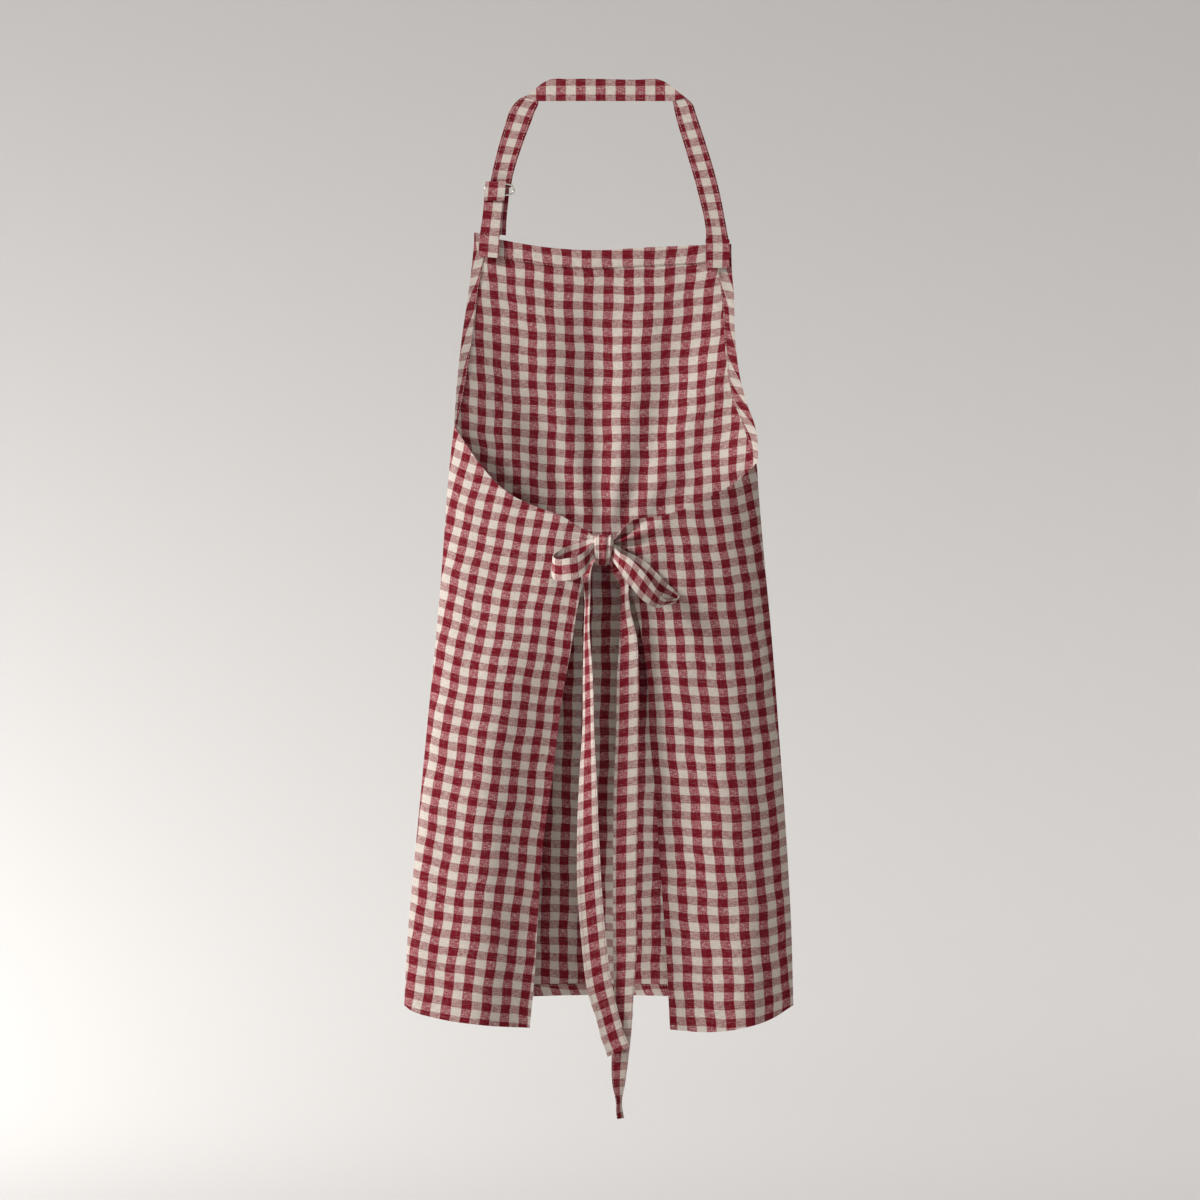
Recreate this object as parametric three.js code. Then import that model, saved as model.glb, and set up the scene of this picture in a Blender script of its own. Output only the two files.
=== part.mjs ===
// A bib apron hung by its neck strap and tied in a bow at the back, seen from the wearer's side.
// Millimetres. +X to the right, +Z up, -Y out of the bib's inner face. The origin is on the
// underside of the neck strap, where a peg or hook carries the apron.

import {
  BoxGeometry,
  ExtrudeGeometry,
  Group,
  MathUtils,
  Mesh,
  MeshStandardMaterial,
  Path,
  Shape,
  SplineCurve,
  Vector2,
} from "three";

const { lerp, smoothstep } = MathUtils;

// ---------------------------------------------------------------- driving dimensions

const clothThickness = 1.2;
const bandThickness = 2.2; // the strap and its tab are folded bands, stitched flat
const bandWidth = 25;
const layerGap = 0.3; // between layers that lie on each other
const hemGap = 0.8; // between a curved panel and the hem turned on to it
const swingGap = 1.5; // between the strap and the bib, on each side of the line they fold on

// Heights are below the underside of the neck strap.
const bibTop = -157.8; // the bib's top edge at its left corner
const bibTopDrop = { right: 3, middle: 9 };
const foldStart = { left: -366, right: -415 }; // where each armhole ends and the fold begins
const hemHeight = -1020.5; // the foot of the folds
const hemRise = 10.5; // how far the front hem lifts between the folds

const width = { bib: 290, waist: 341, hem: 439.5 }; // of the folded apron
const lean = { bib: -10, waist: -6.5, hem: -15.25 }; // how far its middle hangs to one side
const armholeBow = { left: 6, right: -9 }; // of each armhole edge, outwards positive

const frontBulge = { bib: 2, waist: 26, hem: 20 }; // how far the front panel stands back
const wingRise = { waist: 23, hem: 15 }; // how far a wing's inner edge stands forward
const foldForward = 5; // the folds hang this far forward of the bib's top edge
const foldGap = 0.7; // inside the fold, between the front panel and a wing

const wingTopSag = { left: 24, right: 12 }; // droop of each wing's curved upper edge
const wingFootWidth = { left: 142, right: 139 };
const wingFootDrop = { left: 25.5, right: 28 }; // the inner corner hangs below the fold's foot
const wingFootSag = 5;

const topHemWidth = 22;
const sideHemWidth = 14;
const bottomHemWidth = 13;
const hemInset = 18; // how far a hem stops short of a fold

const strapRun = { left: -97, right: 84, cornerLeft: -74.6, cornerRight: 56.5 };
const strapCornerRise = 5;
const strapEnds = { rise: 1, clear: 1.5 }; // the run lifts off a peg just inside the legs
const legDrop = 0.4; // the legs start this far below the run's underside
const leftLeg = { top: -99, foot: -129.5, flare: 5, tuck: -2 }; // middles; flare and tuck
const rightLeg = { top: 79.7, flare: -1.3, tuck: 2 }; // add to the band's width
const strapInset = { left: 15, right: 16.4 }; // from the bib's corners to where it is sewn on
const patchFoot = -188;

const tabWidth = 22.5;
const tabMiddle = -128.8; // at the rings
const tabFoot = -175.5;

const ring = { top: -92.2, height: 15, wire: 2, slack: 4.25, corner: 5, pitch: 2.8 };
const ringShift = 1.8; // the rings lie to one side of the tab
const ringSwingGap = { above: 1.4, below: 0.4 }; // so that they can tip forward
const freeEnd = { drop: 0.8, foot: -150, shift: 5.8, slant: -4, gap: 0.8 };

const knot = { x: -10.4, z: -506.8, width: 24, height: 35, depth: 20, bevel: 3 };
const knotSeat = 9; // how far the knot's middle stands forward of the wing corners
const leadLength = { left: 17.6, right: 26.4 };
const leadLift = { left: 28.8, right: 32.8 }; // the wing corners' height above the knot's
const leadHeight = { wing: 34, knot: 20 };
const leadBack = 6; // how far a lead's far face lies behind the knot's middle
const leadGap = 0.5;

const loopWall = 1.5;
const leftLoop = { length: 42, bulge: 8, band: 23, droop: 20 };
const rightLoop = { length: 80, bulge: 8, band: 23, droop: 37 };
const loopForward = 6; // how far the loops lie forward of the knot's middle
const loopGap = 4; // room beside the knot for a loop to swing
const loopNeck = 0.35; // share of the band's width where it is gathered into the knot

const tailThickness = 1.5;
const tailTopGap = 4; // below the knot, so that a tail can swing
// Each tail's middle line is given from the knot's middle out, and from its underside down.
const leftTail = {
  middle: [[-13.6, 0], [-16.6, -120], [-16.6, -240], [-14.6, -366], [-5.6, -470], [17.4, -543]],
  topWidth: 12,
  footWidth: bandWidth,
  back: 4.5, // how far its far face lies behind the knot's middle
};
const rightTail = {
  middle: [[25.4, -8], [28.4, -170], [26.4, -275], [25.4, -366], [23.4, -470], [19.4, -622]],
  topWidth: 17,
  footWidth: 8,
  back: 6.8,
};

// ---------------------------------------------------------------- finishes

const linen = { color: 0xa87372, roughness: 0.93, metalness: 0 };
const linenShade = { color: 0x7d4a4b, roughness: 0.95, metalness: 0 };
const nickel = { color: 0xc9c4bb, roughness: 0.3, metalness: 1 };

const apron = new Group();

function add(name, geometry, finish, parent = apron) {
  const mesh = new Mesh(geometry, new MeshStandardMaterial(finish));
  mesh.name = name;
  parent.add(mesh);
  return mesh;
}

// A layer of cloth. place(u, v) gives [x, y, z] on its far face, with u from left to right
// and v from top to bottom; the near face lies one thickness in front of it.
function layer(name, [across, down], thickness, place, finish = linen) {
  const geometry = new BoxGeometry(1, 1, 1, across, 1, down);
  const points = geometry.getAttribute("position");
  for (let i = 0; i < points.count; i += 1) {
    const u = points.getX(i) + 0.5;
    const v = 0.5 - points.getZ(i);
    const front = 0.5 - points.getY(i);
    const [x, y, z] = place(u, v);
    points.setXYZ(i, x, y - front * thickness, z);
  }
  return add(name, geometry, finish);
}

// A flat outline in X and Z, given as corner points, from its far face forward.
function flatBand(name, corners, farFace, thickness) {
  const shape = new Shape(corners.map(([x, z]) => new Vector2(x, z)));
  const geometry = new ExtrudeGeometry(shape, { depth: thickness, bevelEnabled: false });
  geometry.rotateX(Math.PI / 2);
  const mesh = add(name, geometry, linen);
  mesh.position.y = farFace;
  return mesh;
}

const arch = (t) => 4 * t * (1 - t);

// ---------------------------------------------------------------- the body's shape

const outwards = { left: -1, right: 1 };

const corner = (side, level) => lean[level] + (outwards[side] * width[level]) / 2;

// X of a side edge of the front panel: the armhole down to the fold, then the fold itself.
function sideEdge(side, z) {
  const start = foldStart[side];
  if (z < start) {
    return lerp(corner(side, "waist"), corner(side, "hem"), (z - start) / (hemHeight - start));
  }
  const along = (z - bibTop) / (start - bibTop);
  const bow = outwards[side] * armholeBow[side] * arch(along);
  return lerp(corner(side, "bib"), corner(side, "waist"), along) + bow;
}

const leftEdge = (z) => sideEdge("left", z);
const rightEdge = (z) => sideEdge("right", z);

// 0 at the bib's top edge and 1 where both folds have begun.
const toWaist = (z) => smoothstep(-z, -bibTop, -foldStart.right);

// The fold lines come forward of the bib's top edge as the body hangs down.
const foldDepth = (z) => -foldForward * toWaist(z);

function bulgeAt(z) {
  const toHem = smoothstep(-z, -foldStart.right, -hemHeight);
  return lerp(frontBulge.bib, frontBulge.waist, toWaist(z)) +
    (frontBulge.hem - frontBulge.waist) * toHem;
}

const topEdge = (u) => bibTop - bibTopDrop.right * u - bibTopDrop.middle * arch(u) * (1 - u / 4);
const bottomEdge = (u) => hemHeight + hemRise * arch(u);

// Depth of the front panel's far face at a place.
function frontDepth(x, z) {
  const u = (x - leftEdge(z)) / (rightEdge(z) - leftEdge(z));
  return foldDepth(z) + bulgeAt(z) * arch(u);
}

function onFront(u, v) {
  const z = lerp(topEdge(u), bottomEdge(u), v);
  const x = lerp(leftEdge(z), rightEdge(z), u);
  return [x, frontDepth(x, z), z];
}

layer("front_panel", [14, 18], clothThickness, onFront, linenShade);

// ---------------------------------------------------------------- hems of the bib and front

const frontHemDepth = clothThickness + hemGap;

function onTopHem(u, v) {
  const z = topEdge(u) - topHemWidth * v;
  const x = lerp(leftEdge(z), rightEdge(z), u);
  return [x, frontDepth(x, z) - frontHemDepth, z];
}

layer("bib_top_hem", [8, 1], clothThickness, onTopHem);

// Share of the way in from a side's outer edge, for u from left to right.
const inFrom = (side, u) => (side === "left" ? u : 1 - u);

function armholeHem(side) {
  const foot = foldStart[side] + hemInset;
  const place = (u, v) => {
    const inwards = inFrom(side, u) * sideHemWidth;
    const top = topEdge(inFrom(side, inwards / width.bib)) - topHemWidth - hemGap;
    const z = lerp(top, foot, v);
    const x = sideEdge(side, z) - outwards[side] * inwards * lerp(1, 0.5, v);
    return [x, frontDepth(x, z) - frontHemDepth, z];
  };
  layer(`armhole_hem_${side}`, [1, 8], clothThickness, place);
}

armholeHem("left");
armholeHem("right");

function onFrontHem(u, v) {
  const rough = bottomEdge(u);
  const x = lerp(leftEdge(rough) + hemInset, rightEdge(rough) - hemInset, u);
  const along = (x - leftEdge(rough)) / (rightEdge(rough) - leftEdge(rough));
  const z = bottomEdge(along) + bottomHemWidth * (1 - v);
  return [x, frontDepth(x, z) - frontHemDepth, z];
}

layer("front_hem", [10, 1], clothThickness, onFrontHem, linenShade);

// ---------------------------------------------------------------- the two wings

const wingCorner = {
  left: [knot.x - knot.width / 2 - leadLength.left, knot.z + leadLift.left],
  right: [knot.x + knot.width / 2 + leadLength.right, knot.z + leadLift.right],
};

// Depth of a wing's far face: t is 0 on the fold and 1 on the inner edge.
function wingDepth(t, z) {
  const toHem = smoothstep(-z, -wingCorner.left[1], -hemHeight);
  const rise = lerp(wingRise.waist, wingRise.hem, toHem);
  return foldDepth(z) - clothThickness - foldGap - rise * Math.sin((t * Math.PI) / 2);
}

// A place on a wing's far face: t as above, v from 0 on its upper edge to 1 on its hem.
function onWing(side, t, v) {
  const foldX = corner(side, "waist");
  const footX = corner(side, "hem");
  const [cornerX, cornerZ] = wingCorner[side];
  const innerX = footX - outwards[side] * wingFootWidth[side];
  const sag = wingTopSag[side] * arch(t) * (1 - t / 2);
  const topZ = lerp(foldStart[side], cornerZ, t) - sag;
  const footZ = hemHeight - wingFootDrop[side] * t - wingFootSag * arch(t);
  const z = lerp(topZ, footZ, v);
  return [lerp(lerp(foldX, cornerX, t), lerp(footX, innerX, t), v), wingDepth(t, z), z];
}

function wing(side) {
  const behind = clothThickness + hemGap; // the hems are turned to the hidden face
  const topWidth = Math.abs(wingCorner[side][0] - corner(side, "waist"));
  const height = foldStart[side] - hemHeight;
  const inset = hemInset / wingFootWidth[side];
  const sideShare = sideHemWidth / topWidth;
  const topShare = sideHemWidth / height;
  const bottomShare = bottomHemWidth / height;
  const clear = layerGap / height;

  const cloth = (name, grid, from, back) => {
    layer(name, grid, clothThickness, (u, v) => {
      const [x, y, z] = from(inFrom(side, u), v);
      return [x, y + back, z];
    });
  };
  const name = `wing_${side}`;
  cloth(name, [8, 12], (t, v) => onWing(side, t, v), 0);
  const topHem = (t, v) => onWing(side, lerp(inset, 1, t), v * topShare);
  cloth(`${name}_top_hem`, [8, 1], topHem, behind);
  const sideHem = (t, v) => {
    return onWing(side, lerp(1 - sideShare, 1, t), lerp(topShare + clear, 1 - bottomShare - clear, v));
  };
  cloth(`${name}_side_hem`, [1, 8], sideHem, behind);
  const bottomHem = (t, v) => onWing(side, lerp(inset, 1, t), 1 - bottomShare * (1 - v));
  cloth(`${name}_bottom_hem`, [8, 1], bottomHem, behind);
}

wing("left");
wing("right");

// ---------------------------------------------------------------- the neck strap

const strapFar = -(clothThickness * 2 + hemGap + layerGap); // lies on the bib's top hem
const strapMiddle = strapFar - bandThickness / 2;
const swingLine = bibTop + swingGap / 2; // the strap and the bib fold along this height
const legFoot = swingLine + swingGap;

const legsInner = {
  left: leftLeg.top + (bandWidth + leftLeg.flare) / 2,
  right: rightLeg.top - (bandWidth + rightLeg.flare) / 2,
};
flatBand(
  "strap_run",
  [
    [strapRun.left + 2, strapEnds.rise],
    [legsInner.left + strapEnds.clear, 0],
    [legsInner.right - strapEnds.clear, 0],
    [strapRun.right - 2, strapEnds.rise],
    [strapRun.right, strapCornerRise],
    [strapRun.cornerRight, bandWidth],
    [strapRun.cornerLeft, bandWidth],
    [strapRun.left, strapCornerRise],
  ],
  strapFar,
  bandThickness,
);

// A stretch of band between two heights, given by its middle and width at each.
function bandStretch(name, top, foot, { farFace = strapFar, dropLeft = 0, dropRight = 0 } = {}) {
  const corners = [
    [foot.x - foot.width / 2, foot.z],
    [foot.x + foot.width / 2, foot.z],
    [top.x + top.width / 2, top.z - dropRight],
    [top.x - top.width / 2, top.z - dropLeft],
  ];
  flatBand(name, corners, farFace, bandThickness);
}

const legEnd = ring.top + ringSwingGap.above;
const ringFoot = ring.top - ring.height;

bandStretch(
  "strap_leg_left",
  { x: leftLeg.top, z: -legDrop, width: bandWidth + leftLeg.flare },
  { x: leftLeg.foot, z: legEnd, width: bandWidth + leftLeg.tuck },
  { dropLeft: 2 },
);
const rightFoot = {
  x: corner("right", "bib") - strapInset.right,
  width: bandWidth + rightLeg.tuck,
};
bandStretch(
  "strap_leg_right",
  { x: rightLeg.top, z: -legDrop, width: bandWidth + rightLeg.flare },
  { ...rightFoot, z: legFoot },
  { dropRight: 2 },
);
bandStretch("strap_patch_right", { ...rightFoot, z: bibTop }, { ...rightFoot, z: patchFoot });

const tabTop = ringFoot - ringSwingGap.below;
const tabSewn = corner("left", "bib") + strapInset.left;
const tabAt = (z) => ({
  x: lerp(tabMiddle, tabSewn, (z - tabTop) / (tabFoot - tabTop)),
  z,
  width: tabWidth,
});

bandStretch("strap_tab", tabAt(tabTop), tabAt(legFoot));
bandStretch("tab_patch_left", tabAt(bibTop), tabAt(tabFoot));

// The strap comes back through the rings and its free end hangs behind the tab.
const freeTop = { x: tabMiddle + freeEnd.shift, z: ring.top - freeEnd.drop, width: tabWidth };
bandStretch(
  "strap_free_end",
  freeTop,
  { x: freeTop.x + freeEnd.slant, z: freeEnd.foot, width: tabWidth },
  { farFace: strapMiddle + (ring.pitch + ring.wire) / 2 + freeEnd.gap + bandThickness },
);

// ---------------------------------------------------------------- the adjuster's two rings

function roundedOutline(target, wide, high, radius) {
  const x = wide / 2 - radius;
  const z = high / 2 - radius;
  const middles = [[x, -z], [x, z], [-x, z], [-x, -z]];
  target.moveTo(-x, -high / 2);
  middles.forEach(([cx, cz], i) => {
    const start = (i - 1) * (Math.PI / 2);
    target.absarc(cx, cz, radius, start, start + Math.PI / 2);
  });
  return target;
}

function wireRing(name, middleDepth) {
  const { height, wire, slack, corner: radius } = ring;
  const clearWidth = tabWidth + 2 * slack;
  const shape = roundedOutline(new Shape(), clearWidth + 2 * wire, height, radius);
  const inner = roundedOutline(new Path(), clearWidth, height - 2 * wire, radius - wire);
  shape.holes.push(inner);
  const geometry = new ExtrudeGeometry(shape, {
    depth: wire,
    bevelEnabled: false,
    curveSegments: 4,
  });
  geometry.rotateX(Math.PI / 2);
  const mesh = add(name, geometry, nickel);
  mesh.position.set(tabMiddle + ringShift, middleDepth + wire / 2, ring.top - height / 2);
}

wireRing("ring_front", strapMiddle - ring.pitch / 2);
wireRing("ring_back", strapMiddle + ring.pitch / 2);

// ---------------------------------------------------------------- the tie and its bow

const cornerDepth = wingDepth(1, wingCorner.left[1]) - clothThickness;
const knotDepth = cornerDepth - knotSeat;
const knotFoot = knot.z - knot.height / 2;

const knotShape = roundedOutline(
  new Shape(),
  knot.width - 2 * knot.bevel,
  knot.height - 2 * knot.bevel,
  knot.bevel,
);
const knotSolid = new ExtrudeGeometry(knotShape, {
  depth: knot.depth - 2 * knot.bevel,
  bevelSize: knot.bevel,
  bevelThickness: knot.bevel,
  bevelSegments: 2,
  curveSegments: 3,
});
knotSolid.rotateX(Math.PI / 2);
const knotMesh = add("knot", knotSolid, linen);
knotMesh.position.set(knot.x, knotDepth + knot.depth / 2 - knot.bevel, knot.z);

// The short lead of each tie, from the wing's corner in to the knot.
function lead(side) {
  const [cornerX, cornerZ] = wingCorner[side];
  const wingX = cornerX - outwards[side] * layerGap;
  const knotX = knot.x + outwards[side] * (knot.width / 2 + leadGap);
  const place = (u, v) => {
    const s = inFrom(side, u); // 0 on the wing and 1 on the knot
    const middle = lerp(cornerZ - leadHeight.wing / 2, knot.z + 4, s);
    const height = lerp(leadHeight.wing, leadHeight.knot, s);
    const depth = lerp(cornerDepth + clothThickness, knotDepth + leadBack, s);
    return [lerp(wingX, knotX, s), depth, middle + height * (0.5 - v)];
  };
  layer(`tie_lead_${side}`, [3, 1], bandThickness, place);
}

lead("left");
lead("right");

// A bow loop is a band on edge that goes out from the knot and comes back behind itself.
function bowLoop(side, { length, bulge, band, droop }) {
  const shape = new Shape();
  shape.absellipse(length / 2, 0, length / 2, bulge, 0, Math.PI * 2);
  const hollow = new Path();
  hollow.absellipse(length / 2, 0, length / 2 - loopWall, bulge - loopWall, 0, Math.PI * 2);
  shape.holes.push(hollow);
  const geometry = new ExtrudeGeometry(shape, {
    depth: band,
    bevelEnabled: false,
    curveSegments: 10,
  });
  geometry.translate(0, 0, -band / 2);
  const points = geometry.getAttribute("position");
  for (let i = 0; i < points.count; i += 1) {
    const spread = lerp(loopNeck, 1, smoothstep(points.getX(i), 0, length * 0.45));
    points.setZ(i, points.getZ(i) * spread);
  }
  const turned = new Group();
  const start = knot.x + outwards[side] * (knot.width / 2 + loopGap);
  turned.position.set(start, knotDepth - loopForward, knot.z);
  turned.rotation.y = MathUtils.degToRad(side === "right" ? droop : 180 - droop);
  apron.add(turned);
  add(`bow_loop_${side}`, geometry, linen, turned);
}

bowLoop("left", leftLoop);
bowLoop("right", rightLoop);

// A tail hangs from the knot, cut across at its foot or drawn in to a narrow tip.
function tail(side, { middle, topWidth, footWidth, back }) {
  const top = knotFoot - tailTopGap;
  const line = new SplineCurve(middle.map(([x, z]) => new Vector2(knot.x + x, top + z)));
  const place = (u, v) => {
    const at = line.getPoint(v);
    const run = line.getTangent(v);
    const full = v < 1 ? bandWidth : footWidth;
    const out = (u - 0.5) * lerp(topWidth, full, Math.sqrt(v));
    return [at.x - run.y * out, knotDepth + back, at.y + run.x * out];
  };
  layer(`tie_tail_${side}`, [1, 12], tailThickness, place);
}

tail("left", leftTail);
tail("right", rightTail);

export default apron;
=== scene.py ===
"""Looks for a bib apron that hangs by its neck strap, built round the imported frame.

Lengths in the tables are millimetres in the frame's axes: x to the right, z up, and y away
from the viewer. Blender objects are in metres.
"""

import math

import bpy
import numpy as np
from bpy.props import FloatProperty, FloatVectorProperty, PointerProperty
from bpy.types import Operator, Panel, PropertyGroup
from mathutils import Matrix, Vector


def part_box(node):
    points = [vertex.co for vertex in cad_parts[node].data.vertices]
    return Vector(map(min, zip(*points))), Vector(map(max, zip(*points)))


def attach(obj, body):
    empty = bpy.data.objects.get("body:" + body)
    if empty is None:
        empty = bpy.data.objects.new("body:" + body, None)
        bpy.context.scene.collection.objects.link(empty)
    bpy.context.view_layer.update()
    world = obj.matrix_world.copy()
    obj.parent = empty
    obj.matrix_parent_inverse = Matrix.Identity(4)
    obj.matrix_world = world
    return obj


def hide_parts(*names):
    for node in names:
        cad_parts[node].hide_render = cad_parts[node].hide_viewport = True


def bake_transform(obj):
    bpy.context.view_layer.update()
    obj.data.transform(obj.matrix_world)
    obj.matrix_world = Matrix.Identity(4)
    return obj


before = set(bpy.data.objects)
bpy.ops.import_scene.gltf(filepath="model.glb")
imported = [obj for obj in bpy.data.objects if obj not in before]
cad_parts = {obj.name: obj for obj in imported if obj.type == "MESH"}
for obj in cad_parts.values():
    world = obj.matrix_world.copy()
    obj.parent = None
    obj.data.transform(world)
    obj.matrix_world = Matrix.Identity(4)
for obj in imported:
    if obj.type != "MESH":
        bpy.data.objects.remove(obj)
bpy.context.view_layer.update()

bl_info = {
    "name": "Tied bib apron",
    "version": (1, 0, 0),
    "blender": (4, 5, 0),
    "location": "3D View > Sidebar > Apron",
    "description": "Makes a checked linen bib apron, tied in a bow, piece by piece",
    "category": "Object",
}

MM = 0.001
SIDES = {"left": -1, "right": 1}
LIE = "check_lie"  # the cloth's own coordinates, in checks across and checks down

# ------------------------------------------------------------------ the cut and how it hangs

# Edge lines of the body as (z, x), from the bib's corners down.
ARMHOLE = {
    "left": [(-157, -155.5), (-180, -157.5), (-216, -162), (-272, -170), (-298, -173),
             (-339, -176.5), (-366, -178)],
    "right": [(-161, 134.5), (-189, 135), (-220, 137.5), (-264, 138.5), (-317, 145.5),
              (-341, 152), (-364, 160.5), (-383, 164), (-415, 163.5)],
}
FOLD = {
    "left": [(-366, -178), (-400, -182), (-437, -185.5), (-486, -189), (-559, -194.5),
             (-700, -208), (-879, -225), (-928, -229.5), (-977, -232.5), (-1020.5, -234.5)],
    "right": [(-415, 163.5), (-447, 165.5), (-495, 169.5), (-534, 173), (-585, 178),
              (-730, 189.5), (-879, 199.5), (-928, 202), (-977, 203.5), (-1020.5, 204.5)],
}
BIB_TOP = [(-157, -148), (-148, -149), (-136, -154), (-121, -157), (-79, -164), (-19, -168),
           (36, -165), (105, -162), (136, -161)]
FRONT_FOOT = [(-236, -1020.5), (-150, -1013), (-60, -1009), (40, -1009), (130, -1013),
              (206, -1020.5)]

# Each wing's inner edge as (share of the way down, x, z): gathered into the knot, then free.
WING_INNER = {
    "left": [(0, -19, -491), (0.035, -19, -510), (0.07, -26, -530), (0.12, -34, -550),
             (0.25, -47.5, -624), (0.34, -56, -671), (0.51, -68.5, -772), (0.61, -77, -829),
             (0.75, -83, -908), (0.89, -87.5, -988), (1, -93, -1046)],
    "right": [(0, 2, -496), (0.035, 3, -516), (0.07, 12, -535), (0.12, 21, -552),
              (0.25, 38, -633), (0.42, 43, -722), (0.5, 47.5, -766), (0.62, 52, -829),
              (0.73, 56.5, -893), (0.89, 62, -978), (1, 65.5, -1048)],
}
# Each wing's upper edge as (share of the way in, x, z).
WING_UPPER = {
    "left": [(0, -178, -366), (0.07, -170, -379), (0.16, -158, -397), (0.3, -135, -426),
             (0.45, -112, -445), (0.6, -86, -457), (0.78, -55, -469), (0.9, -35, -481),
             (1, -19, -491)],
    "right": [(0, 163.5, -408), (0.06, 158, -413), (0.16, 144, -426), (0.3, 122, -440),
              (0.5, 89, -456), (0.68, 58, -467), (0.82, 33, -470.5), (0.87, 23.5, -472.5),
              (0.93, 12.7, -481), (1, 2, -496)],
}
# Each wing's foot as (share of the way in, x, z).
WING_FOOT = {
    "left": [(0, -234.5, -1020.5), (0.1, -226, -1027), (0.3, -195, -1036), (0.6, -148, -1043),
             (1, -93, -1046)],
    "right": [(0, 204.5, -1020.5), (0.2, 180, -1036), (0.45, 146, -1047), (0.7, 110, -1051),
              (1, 65.5, -1048)],
}

HEM_WIDTH = {  # of each armhole hem, down its length
    "left": [(0, 12.7), (0.18, 11), (0.5, 12), (0.8, 9), (1, 3.5)],
    "right": [(0, 16), (0.15, 14), (0.4, 12), (0.6, 13.5), (0.85, 11.5), (1, 3)],
}

HANG = {  # depths: how far the body stands back or forward as it hangs
    "fold_forward": 5.0,
    "front_back": {"bib": 2.0, "waist": 29.0, "hem": 22.0},
    "wing_out": {"waist": 27.0, "hem": 21.0},
    "knot_y": -36.0,
}
# Where each wing is drawn into the knot: crease depth, x and z of its middle, a ridge's angle.
GATHERS = {"left": (1.6, -21, -497, 25), "right": (6.5, 0, -500, 18)}
VIEWED_FROM = (-13.6, -4500.0, -562.7)  # the outlines here are taken from this place

# How the woven checks lie on each cloth: their number across and down, as a cubic in place.
# The terms run through powers of x, and for each through powers of z. These terms and middles
# were fitted by a separate program. They were not chosen by hand.
CHECKS = {
    "front": {
        "middle": (-9.6, -327.6),
        "across": (-0.205, -0.075, 0.054, -0.023, 9.377, -0.675, -0.595, -0.247, -0.381, 0.634),
        "down": (-0.85, -10.81, 0.159, 0.031, -0.203, -0.168, -0.131, 1.349, 0.281, 0.312),
    },
    "left": {
        "middle": (-146.1, -739.0),
        "across": (0.168, -1.375, -0.214, -0.052, 9.348, 0.353, 0.007, 0.134, -0.527, 2.919),
        "down": (-2.753, -10.401, 0.002, -0.012, -1.487, -0.611, -0.261, 2.175, 1.409, -3.835),
    },
    "right": {
        "middle": (128.9, -753.5),
        "across": (0.729, 0.872, 0.188, 0.038, 8.944, 0.504, 0.196, 1.122, 0.51, 5.759),
        "down": (-1.923, -10.525, 0.005, 0.068, 0.011, 0.501, 0.395, 3.979, 0.239, 5.844),
    },
}
CHECKS_REACH = 200.0  # the place is divided by this before the powers
STRAIGHT_BELOW = -440.0  # the front's columns run straight down from here
CHECK = (21.2, 18.4)  # one check across and down
BAND_CHECK = 18.75  # one check along a folded band
BAND_WIDTH = 25.0
FOOT_HEM = 12.5
WING_HEIGHT = 655


def lerp(a, b, t):
    return a + (b - a) * t


def ease(x, a, b):
    """0 before a and 1 after b, smoothly between."""
    t = np.clip((x - a) / (b - a), 0, 1)
    return t * t * (3 - 2 * t)


def arch(t):
    return 4 * t * (1 - t)


def through(points, at):
    """A smooth line through (place, value...) points, read at some places."""
    p = np.array(points, float)
    x = p[:, 0]
    order = np.argsort(x)
    x, y = x[order], p[order, 1:]
    slope = np.gradient(y, x, axis=0)
    at = np.asarray(at, float)
    i = np.clip(np.searchsorted(x, at) - 1, 0, len(x) - 2)
    step = (x[i + 1] - x[i])[..., None]
    t = np.clip((at - x[i])[..., None] / step, 0, 1)
    a, b, c, d = y[i], y[i + 1], slope[i] * step, slope[i + 1] * step
    value = (
        (2 * t**3 - 3 * t**2 + 1) * a + (t**3 - 2 * t**2 + t) * c
        + (3 * t**2 - 2 * t**3) * b + (t**3 - t**2) * d
    )
    return value[..., 0] if value.shape[-1] == 1 else value


def along(points, t):
    """A smooth line through places, read at shares t of its points' spacing."""
    p = np.array(points, float)
    gap = np.linalg.norm(np.diff(p, axis=0), axis=1)
    place = np.concatenate([[0], np.cumsum(gap)]) / gap.sum()
    return through(np.column_stack([place, p]), t)


def side_edge(side, z):
    """X of the body's edge: the armhole, then the fold."""
    hole, fold = ARMHOLE[side], FOLD[side]
    return np.where(z > fold[0][0], through(hole, z), through(fold, z))


def fold_depth(z):
    return -HANG["fold_forward"] * ease(-z, 157.8, 415)


def front_back(z):
    back = HANG["front_back"]
    high = lerp(back["bib"], back["waist"], ease(-z, 157.8, 415))
    return high + (back["hem"] - back["waist"]) * ease(-z, 415, 1020.5)


def drape(x, z, size=1.0):
    """Small soft unevenness of hung linen."""
    waves = ((0.013, 0.071, 0.4, 0.35), (0.034, 0.047, 1.9, 0.22), (-0.051, 0.026, 3.1, 0.2),
             (0.094, -0.011, 5.2, 0.12), (0.029, -0.118, 2.6, 0.1), (-0.127, 0.064, 0.9, 0.07))
    return size * sum(h * np.sin(a * x + b * z + c) for a, b, c, h in waves)


def pull_folds(x, z):
    """Soft folds that rise through the bib from the knot."""
    dx, dz = x + 10, z + 545
    angle = np.arctan2(dx, dz)
    reach = np.hypot(dx, dz)
    high = ease(reach, 25, 110) * (1 - ease(reach, 260, 385))
    soft = np.exp(-((angle / 0.62) ** 2))
    return 2.6 * high * soft * np.sin(angle * 17 + 2.2)


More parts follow.
